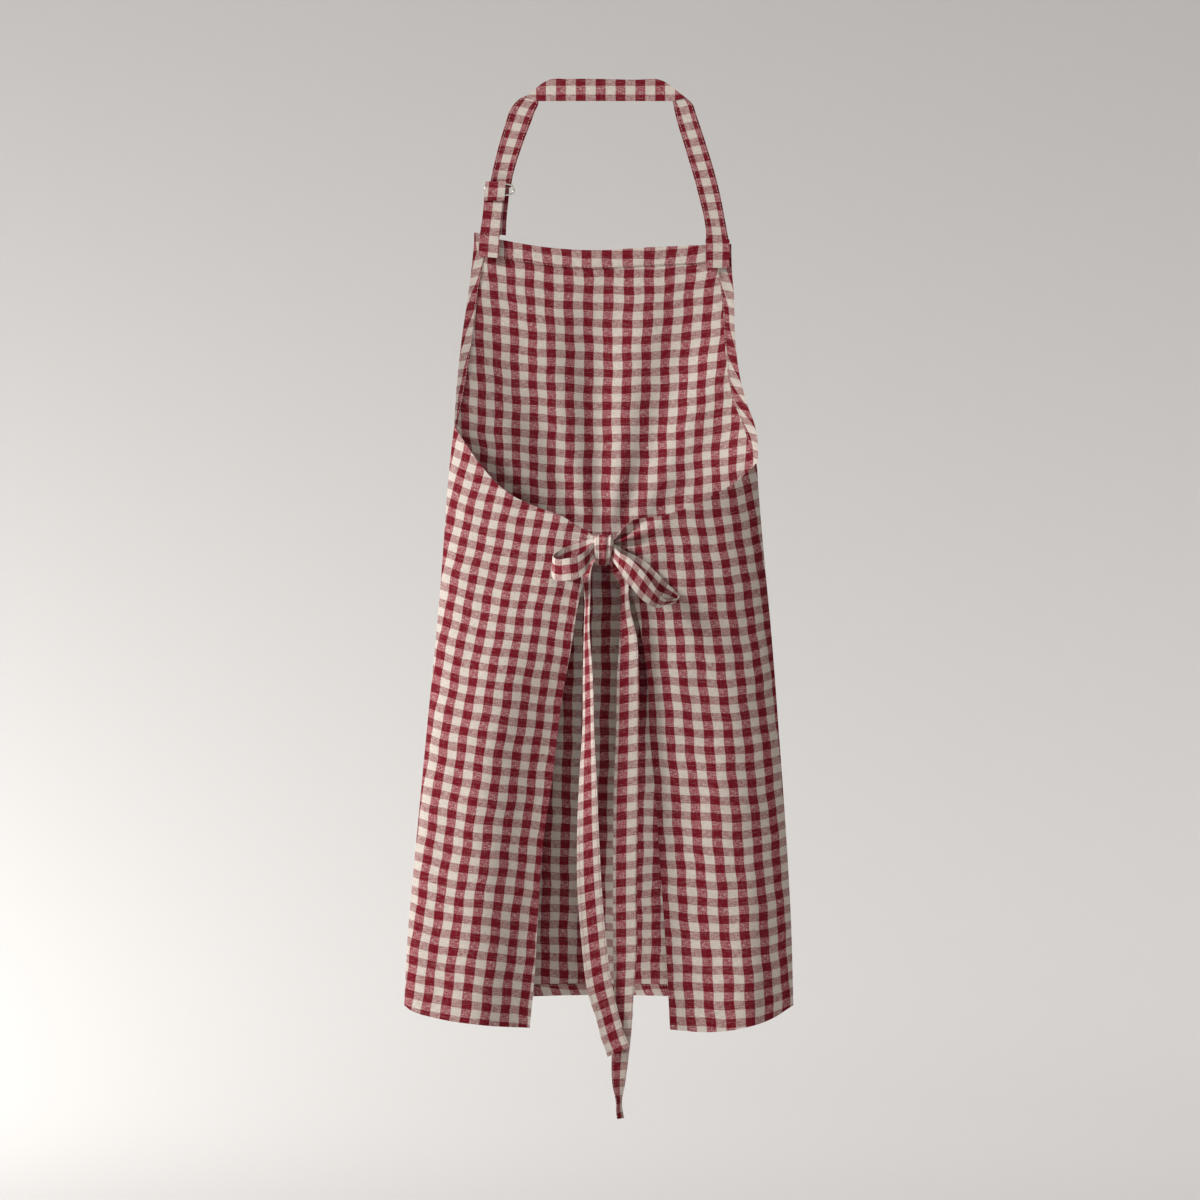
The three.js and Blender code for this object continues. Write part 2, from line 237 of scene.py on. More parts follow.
def front_depth(x, z):
    left, right = side_edge("left", z), side_edge("right", z)
    u = np.clip((x - left) / (right - left), 0, 1)
    round_off = lerp(1.0, 0.72, ease(-z, 330, 480))
    in_bib = ease(z, -520, -440)
    quiet = ease(arch(u), 0.0, 0.35)
    back = front_back(z) * arch(u) ** round_off
    return fold_depth(z) + back + (drape(x, z) + pull_folds(x, z) * in_bib) * quiet


def wing_depth(side, t, x, z):
    out = HANG["wing_out"]
    rise = lerp(out["waist"], out["hem"], ease(-z, 478, 1020.5))
    swell, fall_back = (0.4, 0.66) if side == "left" else (0.0, 0.36)
    low = ease(-z, 530, 720)
    shape = (1 - (1 - t) ** 3) * (1 + swell * low) * (1 - fall_back * ease(t, 0.3, 1.1) * low)
    to_knot = np.exp(-np.hypot(x + 10.4, (z + 504) * 0.8) / 26) * ease(t, 0.5, 1)
    depth = lerp(fold_depth(z) - rise * shape, HANG["knot_y"], to_knot)
    high, cx, cz, ridge = GATHERS[side]
    angle = np.arctan2(z - cz, np.abs(x - cx) + 3)
    near = np.exp(-np.hypot(x - cx, z - cz) / 34) * ease(t, 0.5, 0.85)
    gathers = -high * near * np.cos((angle - math.radians(ridge)) * 11)
    hang = 2.4 * np.sin(t * 7.5 + (0.4 if side == "left" else 2.0)) * ease(-z, 600, 1000)
    quiet = ease(t, 0.05, 0.4)
    return depth + gathers + (drape(x * 1.3, z * 0.8 + 300, 1.5) + hang) * quiet


def lie_of(cloth, x, z):
    """Check number across and down, at a place on a cloth."""
    laid = CHECKS[cloth]
    a = (x - laid["middle"][0]) / CHECKS_REACH
    b = (z - laid["middle"][1]) / CHECKS_REACH
    powers = [(i, j) for i in range(4) for j in range(4 - i)]
    return [
        sum(k * a**i * b**j for k, (i, j) in zip(laid[way], powers)) for way in ("across", "down")
    ]


def waver(x, z):
    """Small unevenness of the weave's columns and rows."""
    across = 0.026 * np.sin(0.071 * z + 0.031 * x + 1) + 0.018 * np.sin(0.17 * z - 0.06 * x)
    down = 0.026 * np.sin(0.063 * x - 0.03 * z + 2) + 0.02 * np.sin(0.15 * x + 0.05 * z)
    return across, down


def front_lie(x, z):
    """The same on the front, whose columns and rows run straight on below the bib."""
    low = np.maximum(z, STRAIGHT_BELOW)
    across, down = lie_of("front", x, low)
    lean = 7.0 * ease(-z, 560, 1000)
    uneven = waver(x, z)
    return across + lean / CHECK[0] + uneven[0], down + (low - z) / CHECK[1] + uneven[1]


def drawn_in(place):
    """Outlines are taken in the plane y = 0: nearer places are drawn in to keep them."""
    nearer = 1 - place[..., 1:2] / VIEWED_FROM[1]
    middle = np.array(VIEWED_FROM) * (1, 0, 1)
    return np.concatenate([
        middle[0] + (place[..., :1] - middle[0]) * nearer, place[..., 1:2],
        middle[2] + (place[..., 2:] - middle[2]) * nearer,
    ], axis=-1)


# ------------------------------------------------------------------ meshes


def grid_normals(place):
    """Unit normals of a grid of places, towards +y where columns run right and rows down."""
    n = np.cross(np.gradient(place, axis=1), np.gradient(place, axis=0))
    return n / np.maximum(np.linalg.norm(n, axis=-1, keepdims=True), 1e-9)


def mesh_object(name, points, quads, lie, material, normals=None, flat_from=None):
    """A smooth mesh of quads. Faces from flat_from on are a cut edge and stay flat."""
    mesh = bpy.data.meshes.new(name)
    mesh.from_pydata((points * MM).tolist(), [], quads.tolist())
    loops = quads.ravel()
    if lie is not None:
        layer = mesh.uv_layers.new(name=LIE)
        layer.data.foreach_set("uv", lie[loops].astype(np.float32).ravel())
    smooth = np.ones(len(quads), bool)
    if flat_from is not None:
        smooth[flat_from:] = False
    mesh.polygons.foreach_set("use_smooth", smooth)
    if normals is not None:
        a, b, c, d = (points[quads[:, i]] for i in range(4))
        own = np.cross(c - a, d - b)
        own /= np.maximum(np.linalg.norm(own, axis=1, keepdims=True), 1e-12)
        every = normals[loops].reshape(-1, 4, 3)
        every[flat_from:] = own[flat_from:, None]
        mesh.normals_split_custom_set(every.reshape(-1, 3).tolist())
    mesh.update()
    piece = bpy.data.objects.new(name, mesh)
    bpy.context.scene.collection.objects.link(piece)
    mesh.materials.append(material)
    return piece


def shell(name, place, lie, thickness, material, keep=None, normals=None):
    """A closed skin of cloth about a grid of places. keep says which cells are cloth."""
    rows, columns = place.shape[:2]
    normal = grid_normals(place) if normals is None else normals
    half = np.broadcast_to(np.asarray(thickness, float) / 2, (rows, columns))[..., None]
    count = rows * columns
    number = np.arange(count).reshape(rows, columns)
    cells = np.stack(
        [number[:-1, :-1], number[:-1, 1:], number[1:, 1:], number[1:, :-1]], axis=-1
    )
    cells = cells.reshape(-1, 4) if keep is None else cells[keep]
    edges = np.concatenate([cells[:, [i, (i + 1) % 4]] for i in range(4)])
    code = edges[:, 0] * count + edges[:, 1]
    rim = edges[~np.isin(code, edges[:, 1] * count + edges[:, 0])]
    rim_faces = np.stack([rim[:, 1], rim[:, 0], rim[:, 0] + count, rim[:, 1] + count], axis=-1)
    quads = np.concatenate([cells, cells[:, ::-1] + count, rim_faces])
    points = np.concatenate([place + normal * half, place - normal * half]).reshape(-1, 3)
    used, quads_left = np.unique(quads, return_inverse=True)
    both = np.concatenate([normal.reshape(-1, 3), -normal.reshape(-1, 3)])[used]
    twice = np.concatenate([lie.reshape(-1, 2)] * 2)[used]
    return mesh_object(
        name, points[used], quads_left.reshape(-1, 4), twice, material, both, 2 * len(cells)
    )


def pillow(rows, columns, full, edge=0.35, ends=False):
    """Thickness over a band's grid: full in the middle and thin at its sewn edges."""
    w = np.linspace(-1, 1, columns)
    across = edge + (1 - edge) * (1 - np.abs(w) ** 6)
    thick = full * np.broadcast_to(across, (rows, columns))
    if ends:
        v = np.abs(np.linspace(-1, 1, rows))[:, None]
        thick = thick * (edge + (1 - edge) * (1 - v**40))
    return thick


def ribbon(name, left, right, lie_left, lie_right, thickness, material, columns=11):
    """A band between two edge lines, each a list of places from top to bottom."""
    w = np.linspace(0, 1, columns)[None, :, None]
    place = left[:, None] * (1 - w) + right[:, None] * w
    lie = lie_left[:, None] * (1 - w) + lie_right[:, None] * w
    return shell(name, place, lie, pillow(len(left), columns, thickness), material)


def tube(name, line, radius, material, sides=12):
    """Round wire along a line of places."""
    line = np.array(line, float)
    ahead = np.roll(line, -1, axis=0) - np.roll(line, 1, axis=0)
    ahead /= np.linalg.norm(ahead, axis=1, keepdims=True)
    up = np.array([0.0, 1.0, 0.0])
    out = np.cross(ahead, up)
    out /= np.linalg.norm(out, axis=1, keepdims=True)
    over = np.cross(out, ahead)
    turn = np.linspace(0, 2 * math.pi, sides, endpoint=False)
    ring = np.cos(turn)[None, :, None] * out[:, None] + np.sin(turn)[None, :, None] * over[:, None]
    points = line[:, None] + ring * radius
    n, m = points.shape[:2]
    number = np.arange(n * m).reshape(n, m)
    nxt, side = np.roll(number, -1, axis=0), np.roll(number, -1, axis=1)
    corner = np.roll(nxt, -1, axis=1)
    quads = np.stack([number, side, corner, nxt], axis=-1).reshape(-1, 4)
    return mesh_object(name, points.reshape(-1, 3), quads, None, material)


def stitch_row(line, facing, length=2.7, pitch=3.9, radius=0.3):
    """Points and faces of one row of stitches along a line, on the side that faces out."""
    line, facing = np.asarray(line, float), np.asarray(facing, float)
    far = np.concatenate([[0], np.cumsum(np.linalg.norm(np.diff(line, axis=0), axis=1))])
    middle = np.arange(pitch, far[-1] - pitch / 2, pitch)
    wobble = 0.16 * np.sin(np.arange(len(middle)) * 2.4)
    steps = np.array([-0.5, -0.3, 0, 0.3, 0.5])
    width = np.array([0.35, 0.95, 1.0, 0.95, 0.35])
    lift = np.array([-0.5, 0.2, 0.45, 0.2, -0.5]) * radius
    at = middle[:, None] + steps * length
    place = np.stack([np.interp(at, far, line[:, k]) for k in range(3)], axis=-1)
    out = np.stack([np.interp(at, far, facing[:, k]) for k in range(3)], axis=-1)
    out /= np.linalg.norm(out, axis=-1, keepdims=True)
    ahead = place[:, 4:5] - place[:, 0:1]
    ahead = ahead / np.linalg.norm(ahead, axis=-1, keepdims=True)
    across = np.cross(out, ahead)
    place = place + out * lift[None, :, None] + across * wobble[:, None, None]
    turn = np.arange(6) * math.pi / 3
    ring = (
        np.cos(turn)[None, None, :, None] * across[:, :, None]
        + np.sin(turn)[None, None, :, None] * out[:, :, None]
    )
    points = place[:, :, None] + ring * (radius * width)[None, :, None, None]
    count = len(middle)
    number = np.arange(count * 30).reshape(count, 5, 6)
    turned = np.roll(number, -1, axis=2)
    walls = np.stack(
        [number[:, :-1], number[:, 1:], turned[:, 1:], turned[:, :-1]], axis=-1
    ).reshape(-1, 4)
    caps = np.concatenate([
        number[:, 0][:, [0, 1, 2, 3]], number[:, 0][:, [0, 3, 4, 5]],
        number[:, 4][:, [3, 2, 1, 0]], number[:, 4][:, [5, 4, 3, 0]],
    ])
    return points.reshape(-1, 3), np.concatenate([walls, caps])


def stitching(name, rows, material):
    """One piece made of several rows of stitches."""
    points, quads, start = [], [], 0
    for line, facing in rows:
        p, q = stitch_row(line, facing)
        points.append(p)
        quads.append(q + start)
        start += len(p)
    return mesh_object(name, np.concatenate(points), np.concatenate(quads), None, material)


def on_cloth(place, normals, r, c):
    """Places and facing of a near-side line that runs through a grid at fractional r, c."""
    r, c = np.clip(r, 0, place.shape[0] - 1.001), np.clip(c, 0, place.shape[1] - 1.001)
    i, j = r.astype(int), c.astype(int)
    a, b = (r - i)[:, None], (c - j)[:, None]

    def read(g):
        return (g[i, j] * (1 - a) * (1 - b) + g[i + 1, j] * a * (1 - b)
                + g[i, j + 1] * (1 - a) * b + g[i + 1, j + 1] * a * b)

    return read(place), -read(normals)


# ------------------------------------------------------------------ materials


def add(tree, kind, **values):
    node = tree.nodes.new(kind)
    for key, value in values.items():
        setattr(node, key, value)
    return node


def put(tree, socket, value):
    """Joins a socket to another, or sets its plain value."""
    if isinstance(value, bpy.types.NodeSocket):
        tree.links.new(value, socket)
    else:
        socket.default_value = value


def sums(tree, operation, *inputs, clamp=False):
    node = add(tree, "ShaderNodeMath", operation=operation, use_clamp=clamp)
    for i, value in enumerate(inputs):
        put(tree, node.inputs[i], value)
    return node.outputs[0]


def blend_colour(tree, share, a, b):
    node = add(tree, "ShaderNodeMix", data_type="RGBA")
    put(tree, node.inputs["Factor"], share)
    put(tree, node.inputs["A"], a)
    put(tree, node.inputs["B"], b)
    return node.outputs["Result"]


def new_group(name, inputs, outputs):
    tree = bpy.data.node_groups.new(name, "ShaderNodeTree")
    for way, sockets in (("INPUT", inputs), ("OUTPUT", outputs)):
        for label, kind, *value in sockets:
            socket = tree.interface.new_socket(name=label, in_out=way, socket_type=kind)
            if value:
                socket.default_value = value[0]
    source, sink = add(tree, "NodeGroupInput"), add(tree, "NodeGroupOutput")
    return tree, source.outputs, sink.inputs


def yarn_group():
    """Uneven linen yarn: streaks that run along the threads of one way of the weave."""
    tree, given, made = new_group(
        "linen_yarn",
        [("Along", "NodeSocketFloat", 0.0), ("Over", "NodeSocketFloat", 0.0),
         ("Seed", "NodeSocketFloat", 0.0)],
        [("Streak", "NodeSocketFloat"), ("Slub", "NodeSocketFloat")],
    )

    def noise(length, width, seed, detail):
        place = add(tree, "ShaderNodeCombineXYZ")
        put(tree, place.inputs[0], sums(tree, "DIVIDE", given["Along"], length))
        put(tree, place.inputs[1], sums(tree, "DIVIDE", given["Over"], width))
        put(tree, place.inputs[2], sums(tree, "ADD", given["Seed"], seed))
        node = add(tree, "ShaderNodeTexNoise", noise_dimensions="3D")
        put(tree, node.inputs["Vector"], place.outputs[0])
        put(tree, node.inputs["Scale"], 1.0)
        put(tree, node.inputs["Detail"], detail)
        put(tree, node.inputs["Roughness"], 0.62)
        return node.outputs["Fac"]

    put(tree, made["Streak"], noise(5.5, 0.9, 0.0, 2.0))
    slub = sums(tree, "SUBTRACT", noise(11.0, 1.5, 7.3, 1.0), 0.56)
    put(tree, made["Slub"], sums(tree, "MULTIPLY", slub, 6.0, clamp=True))
    return tree


def linen_group(yarn):
    """Plain-woven linen in two yarn colours each way, from check numbers across and down."""
    tree, given, made = new_group(
        "checked_linen",
        [("Lie", "NodeSocketVector"), ("Check width", "NodeSocketFloat", CHECK[0]),
         ("Check height", "NodeSocketFloat", CHECK[1]),
         ("Both dark", "NodeSocketColor"), ("Dark warp", "NodeSocketColor"),
         ("Dark weft", "NodeSocketColor"), ("Neither dark", "NodeSocketColor"),
         ("Unevenness", "NodeSocketFloat", 1.0), ("Seed", "NodeSocketFloat", 0.0)],
        [("Colour", "NodeSocketColor"), ("Roughness", "NodeSocketFloat"),
         ("Height", "NodeSocketFloat")],
    )
    split = add(tree, "ShaderNodeSeparateXYZ")
    put(tree, split.inputs[0], given["Lie"])
    across, down = split.outputs[0], split.outputs[1]
    x = sums(tree, "MULTIPLY", across, given["Check width"])
    z = sums(tree, "MULTIPLY", down, given["Check height"])
    yarns = {}
    for way, run, over, seed in (("warp", z, x, 0.0), ("weft", x, z, 41.0)):
        node = add(tree, "ShaderNodeGroup", node_tree=yarn)
        put(tree, node.inputs["Along"], run)
        put(tree, node.inputs["Over"], over)
        put(tree, node.inputs["Seed"], sums(tree, "ADD", given["Seed"], seed))
        yarns[way] = node.outputs

    def stripe(place, other):
        edge = sums(tree, "MULTIPLY", sums(tree, "SUBTRACT", other, 0.5), 0.05)
        off = sums(tree, "PINGPONG", sums(tree, "ADD", place, edge), 0.5)
        inside = sums(tree, "SUBTRACT", 0.25, off)
        return sums(tree, "MULTIPLY_ADD", inside, 38.0, 0.5, clamp=True)

    column = stripe(across, yarns["weft"]["Streak"])
    row = stripe(down, yarns["warp"]["Streak"])
    pale = blend_colour(tree, row, given["Neither dark"], given["Dark weft"])
    dark = blend_colour(tree, row, given["Dark warp"], given["Both dark"])
    colour = blend_colour(tree, column, pale, dark)

    # Where one yarn is dark and the other pale, thick and thin yarns show through unevenly.
    mixed = sums(tree, "SUBTRACT", sums(tree, "MAXIMUM", column, row),
                 sums(tree, "MINIMUM", column, row))
    which = sums(tree, "SUBTRACT", yarns["weft"]["Streak"], yarns["warp"]["Streak"])
    swing = sums(tree, "MULTIPLY", which, sums(tree, "MULTIPLY_ADD", mixed, 2.7, 0.16))
    swing = sums(tree, "MULTIPLY", swing, given["Unevenness"])
    lighter = sums(tree, "MAXIMUM", swing, 0.0, clamp=True)
    darker = sums(tree, "MULTIPLY", sums(tree, "MINIMUM", swing, 0.0), -1.0, clamp=True)
    colour = blend_colour(tree, lighter, colour, given["Neither dark"])
    colour = blend_colour(tree, darker, colour, given["Both dark"])
    slub = sums(tree, "ADD", sums(tree, "MULTIPLY", yarns["weft"]["Slub"], 0.1),
                sums(tree, "MULTIPLY", yarns["warp"]["Slub"], 0.06))
    slub = sums(tree, "MULTIPLY", slub, given["Unevenness"], clamp=True)
    colour = blend_colour(tree, slub, colour, given["Neither dark"])
    depth = sums(tree, "ADD", yarns["weft"]["Streak"], yarns["warp"]["Streak"])
    value = add(tree, "ShaderNodeVectorMath", operation="SCALE")
    put(tree, value.inputs[0], colour)
    put(tree, value.inputs["Scale"], sums(tree, "MULTIPLY_ADD", depth, 0.55, 0.45))
    put(tree, made["Colour"], value.outputs[0])

    thread = 0.62

    def ribs(place):
        return sums(tree, "SINE", sums(tree, "MULTIPLY", place, 2 * math.pi / thread))

    weave = sums(tree, "MULTIPLY", sums(tree, "MULTIPLY", ribs(x), ribs(z)), 0.16)
    uneven = sums(tree, "ADD", yarns["weft"]["Streak"], yarns["warp"]["Streak"])
    height = sums(tree, "ADD", weave, sums(tree, "MULTIPLY", uneven, 0.5))
    put(tree, made["Height"], sums(tree, "ADD", height, slub))
    put(tree, made["Roughness"], sums(tree, "MULTIPLY_ADD", yarns["weft"]["Streak"], 0.16, 0.8))
    return tree


def principled(name):
    material = bpy.data.materials.new(name)
    material.use_nodes = True
    tree = material.node_tree
    tree.nodes.clear()
    shader = add(tree, "ShaderNodeBsdfPrincipled")
    out = add(tree, "ShaderNodeOutputMaterial")
    tree.links.new(shader.outputs[0], out.inputs[0])
    return material, tree, shader


def linen_material(name, group, settings, check=CHECK, seed=0.0, bump=0.5):
    material, tree, shader = principled(name)
    lie = add(tree, "ShaderNodeUVMap", uv_map=LIE)
    cloth = add(tree, "ShaderNodeGroup", node_tree=group)
    values = {
        "Lie": lie.outputs[0], "Check width": check[0], "Check height": check[1],
        "Both dark": (*settings.both_dark, 1), "Dark warp": (*settings.dark_warp, 1),
        "Dark weft": (*settings.dark_weft, 1), "Neither dark": (*settings.neither_dark, 1),
        "Unevenness": settings.unevenness, "Seed": seed,
    }
    for key, value in values.items():
        put(tree, cloth.inputs[key], value)
    put(tree, shader.inputs["Base Color"], cloth.outputs["Colour"])
    put(tree, shader.inputs["Roughness"], cloth.outputs["Roughness"])
    relief = add(tree, "ShaderNodeBump")
    put(tree, relief.inputs["Strength"], bump)
    put(tree, relief.inputs["Distance"], 0.35 * MM)
    put(tree, relief.inputs["Height"], cloth.outputs["Height"])
    put(tree, shader.inputs["Normal"], relief.outputs[0])
    shader.inputs["Specular IOR Level"].default_value = 0.08
    shader.inputs["Sheen Weight"].default_value = 0.02
    shader.inputs["Sheen Roughness"].default_value = 0.6
    return material


def thread_material(name, colour):
    """Spun sewing thread: its ply shows as fine slanting lines."""
    material, tree, shader = principled(name)
    place = add(tree, "ShaderNodeTexCoord")
    wave = add(tree, "ShaderNodeTexWave", wave_type="BANDS", bands_direction="DIAGONAL")
    put(tree, wave.inputs["Vector"], place.outputs["Object"])
    put(tree, wave.inputs["Scale"], 900.0)
    put(tree, wave.inputs["Distortion"], 1.5)
    ply = blend_colour(tree, wave.outputs["Fac"], (*colour, 1), (*(c * 0.72 for c in colour), 1))
    put(tree, shader.inputs["Base Color"], ply)
    relief = add(tree, "ShaderNodeBump")
    put(tree, relief.inputs["Strength"], 0.4)
    put(tree, relief.inputs["Distance"], 0.1 * MM)
    put(tree, relief.inputs["Height"], wave.outputs["Fac"])
    put(tree, shader.inputs["Normal"], relief.outputs[0])
    shader.inputs["Roughness"].default_value = 0.7
    return material


def nickel_material(name, colour):
    """Plated wire with light handling marks."""
    material, tree, shader = principled(name)
    place = add(tree, "ShaderNodeTexCoord")
    marks = add(tree, "ShaderNodeTexNoise")
    put(tree, marks.inputs["Vector"], place.outputs["Object"])
    put(tree, marks.inputs["Scale"], 420.0)
    put(tree, marks.inputs["Detail"], 3.0)
    tint = blend_colour(tree, marks.outputs["Fac"], (*(c * 0.82 for c in colour), 1), (*colour, 1))
    put(tree, shader.inputs["Base Color"], tint)
    rough = sums(tree, "MULTIPLY_ADD", marks.outputs["Fac"], 0.22, 0.12)
    put(tree, shader.inputs["Roughness"], rough)
    shader.inputs["Metallic"].default_value = 1.0
    return material


def finish_of(name):
    """A material by name, made once."""
    made = bpy.data.materials.get(name)
    if made:
        return made
    settings = bpy.context.scene.apron
    if name == "seam_thread":
        return thread_material(name, settings.thread)
    if name == "plated_wire":
        return nickel_material(name, settings.wire)
    group = bpy.data.node_groups.get("checked_linen") or linen_group(yarn_group())
    if name == "linen_band":
        return linen_material(name, group, settings, seed=23.0)
    return linen_material(name, group, settings)


# ------------------------------------------------------------------ the body, as one cloth

ROWS_BIB, ROWS_BODY = 46, 170
FRONT_COLUMNS, WING_COLUMNS, LAP = 120, 76, 7  # LAP columns of the front belong to each wing


def closer_at_top(s):
    return s * (0.5 + 0.5 * s)


def body_grids():
    """Places, normals and check numbers of the front and both wings, which share the folds."""
    rows = ROWS_BIB + ROWS_BODY + 1
    k = np.arange(rows)
    edge_z = {}
    for side in SIDES:
        top, fold, foot = ARMHOLE[side][0][0], FOLD[side][0][0], FOLD[side][-1][0]
        upper = lerp(top, fold, k / ROWS_BIB)
        lower = lerp(fold, foot, closer_at_top((k - ROWS_BIB) / ROWS_BODY))
        edge_z[side] = np.where(k < ROWS_BIB, upper, lower)
    s = np.linspace(0, 1, FRONT_COLUMNS + 1)
    u = np.where(s < 0.5, 0.5 * (2 * s) ** 1.6, 1 - 0.5 * (2 * np.maximum(1 - s, 0)) ** 1.6)
    high = np.clip(1 - k / ROWS_BIB, 0, 1)[:, None] ** 1.5
    low = np.clip((k - ROWS_BIB) / ROWS_BODY, 0, 1)[:, None] ** 2
    z = edge_z["left"][:, None] * (1 - u) + edge_z["right"][:, None] * u
    x_top = lerp(ARMHOLE["left"][0][1], ARMHOLE["right"][0][1], u)
    x_foot = lerp(FOLD["left"][-1][1], FOLD["right"][-1][1], u)
    z = z + (through(BIB_TOP, x_top) - z[0]) * high
    z = z + (through(FRONT_FOOT, x_foot) - z[-1]) * low
    x = lerp(side_edge("left", z), side_edge("right", z), u)
    front = drawn_in(np.stack([x, front_depth(x, z), z], axis=-1))

    s = np.linspace(0, 1, WING_COLUMNS + 1)
    t = np.where(s < 0.5, 0.5 * (2 * s) ** 1.5, 1 - 0.5 * (2 - 2 * s) ** 1.35)
    v = closer_at_top(np.linspace(0, 1, ROWS_BODY + 1))[:, None]
    wings, lies = {}, {}
    for side in SIDES:
        fold_z = edge_z[side][ROWS_BIB:]
        fold = np.column_stack([side_edge(side, fold_z), fold_z])
        inner = through(WING_INNER[side], v[:, 0])
        upper, foot = through(WING_UPPER[side], t), through(WING_FOOT[side], t)
        upper[0], foot[0] = fold[0], fold[-1]
        w, d = t[None, :, None], v[:, :, None]
        straight = fold[:, None] * (1 - w) + inner[:, None] * w
        ends = upper[None] * (1 - d) + foot[None] * d
        corners = (fold[0] * (1 - w) + inner[0] * w) * (1 - d)
        corners = corners + (fold[-1] * (1 - w) + inner[-1] * w) * d
        flat = straight + ends - corners
        wx, wz = flat[..., 0], flat[..., 1]
        lies[side] = np.stack(lie_of(side, wx, wz), axis=-1)
        lies[side] += np.stack(waver(wx, wz), axis=-1)
        depth = wing_depth(side, t[None, :], wx, wz)
        wings[side] = drawn_in(np.stack([wx, depth, wz], axis=-1))
        wings[side][:, 0] = front[ROWS_BIB:, 0 if side == "left" else -1]

    together = np.concatenate(
        [wings["left"][:, :0:-1], front[ROWS_BIB:], wings["right"][:, 1:]], axis=1
    )
    joint = grid_normals(together)
    front_normal = grid_normals(front)
    blend_in = ease(np.arange(ROWS_BODY + 1), 0, 4)[:, None, None]
    middle = joint[:, WING_COLUMNS:WING_COLUMNS + FRONT_COLUMNS + 1]
    front_normal[ROWS_BIB:] = front_normal[ROWS_BIB:] * (1 - blend_in) + middle * blend_in
    front_normal /= np.linalg.norm(front_normal, axis=-1, keepdims=True)
    joint[:, WING_COLUMNS:WING_COLUMNS + FRONT_COLUMNS + 1] = front_normal[ROWS_BIB:]

    lie = np.stack(front_lie(x, z), axis=-1)
    for side in SIDES:
        at_fold = lies[side][:, 0]
        own = lie[ROWS_BIB:, 0 if side == "left" else -1]
        off = np.unwrap(np.stack([-at_fold[:, 0] - own[:, 0], at_fold[:, 1] - own[:, 1]]),
                        period=1.0, axis=1)
        off = (off - np.round(off[:, :1])).T * ease(np.arange(ROWS_BODY + 1), 0, 14)[:, None]
        from_edge = u if side == "left" else 1 - u
        share = np.clip(1 - 2.6 * from_edge, 0, 1)[None, :, None] ** 2
        lie[ROWS_BIB:] += off[:, None] * share
    return {"front": front, "front_normal": front_normal, "front_lie": lie, "wings": wings,
            "joint": joint, "together": together, "wing_lie": lies, "share": t}


def wing_piece(side, body, thickness, material):
    """One wing, with the turn of the fold and a strip of the front beyond it."""
    columns = body["together"].shape[1]
    strip = body["front_lie"][ROWS_BIB:]
    if side == "left":
        part = slice(0, WING_COLUMNS + LAP + 1)
        beyond = strip[:, 1:LAP + 1] - strip[:, :1]
        own = body["wing_lie"][side][:, ::-1]
        beyond = own[:, -1:] + beyond * (-1, 1)
        lie = np.concatenate([own, beyond], axis=1)
    else:
        part = slice(columns - WING_COLUMNS - LAP - 1, columns)
        beyond = strip[:, -LAP - 1:-1] - strip[:, -1:]
        own = body["wing_lie"][side]
        beyond = own[:, :1] + beyond * (-1, 1)
        lie = np.concatenate([beyond, own], axis=1)
    place, normal = body["together"][:, part], body["joint"][:, part]
    piece = shell(f"wing_{side}_cloth", place, lie, thickness, material, normals=normal)
    return piece, place, normal


def bend_wing(piece):
    """Bakes the piece's placement into its mesh."""
    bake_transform(piece)


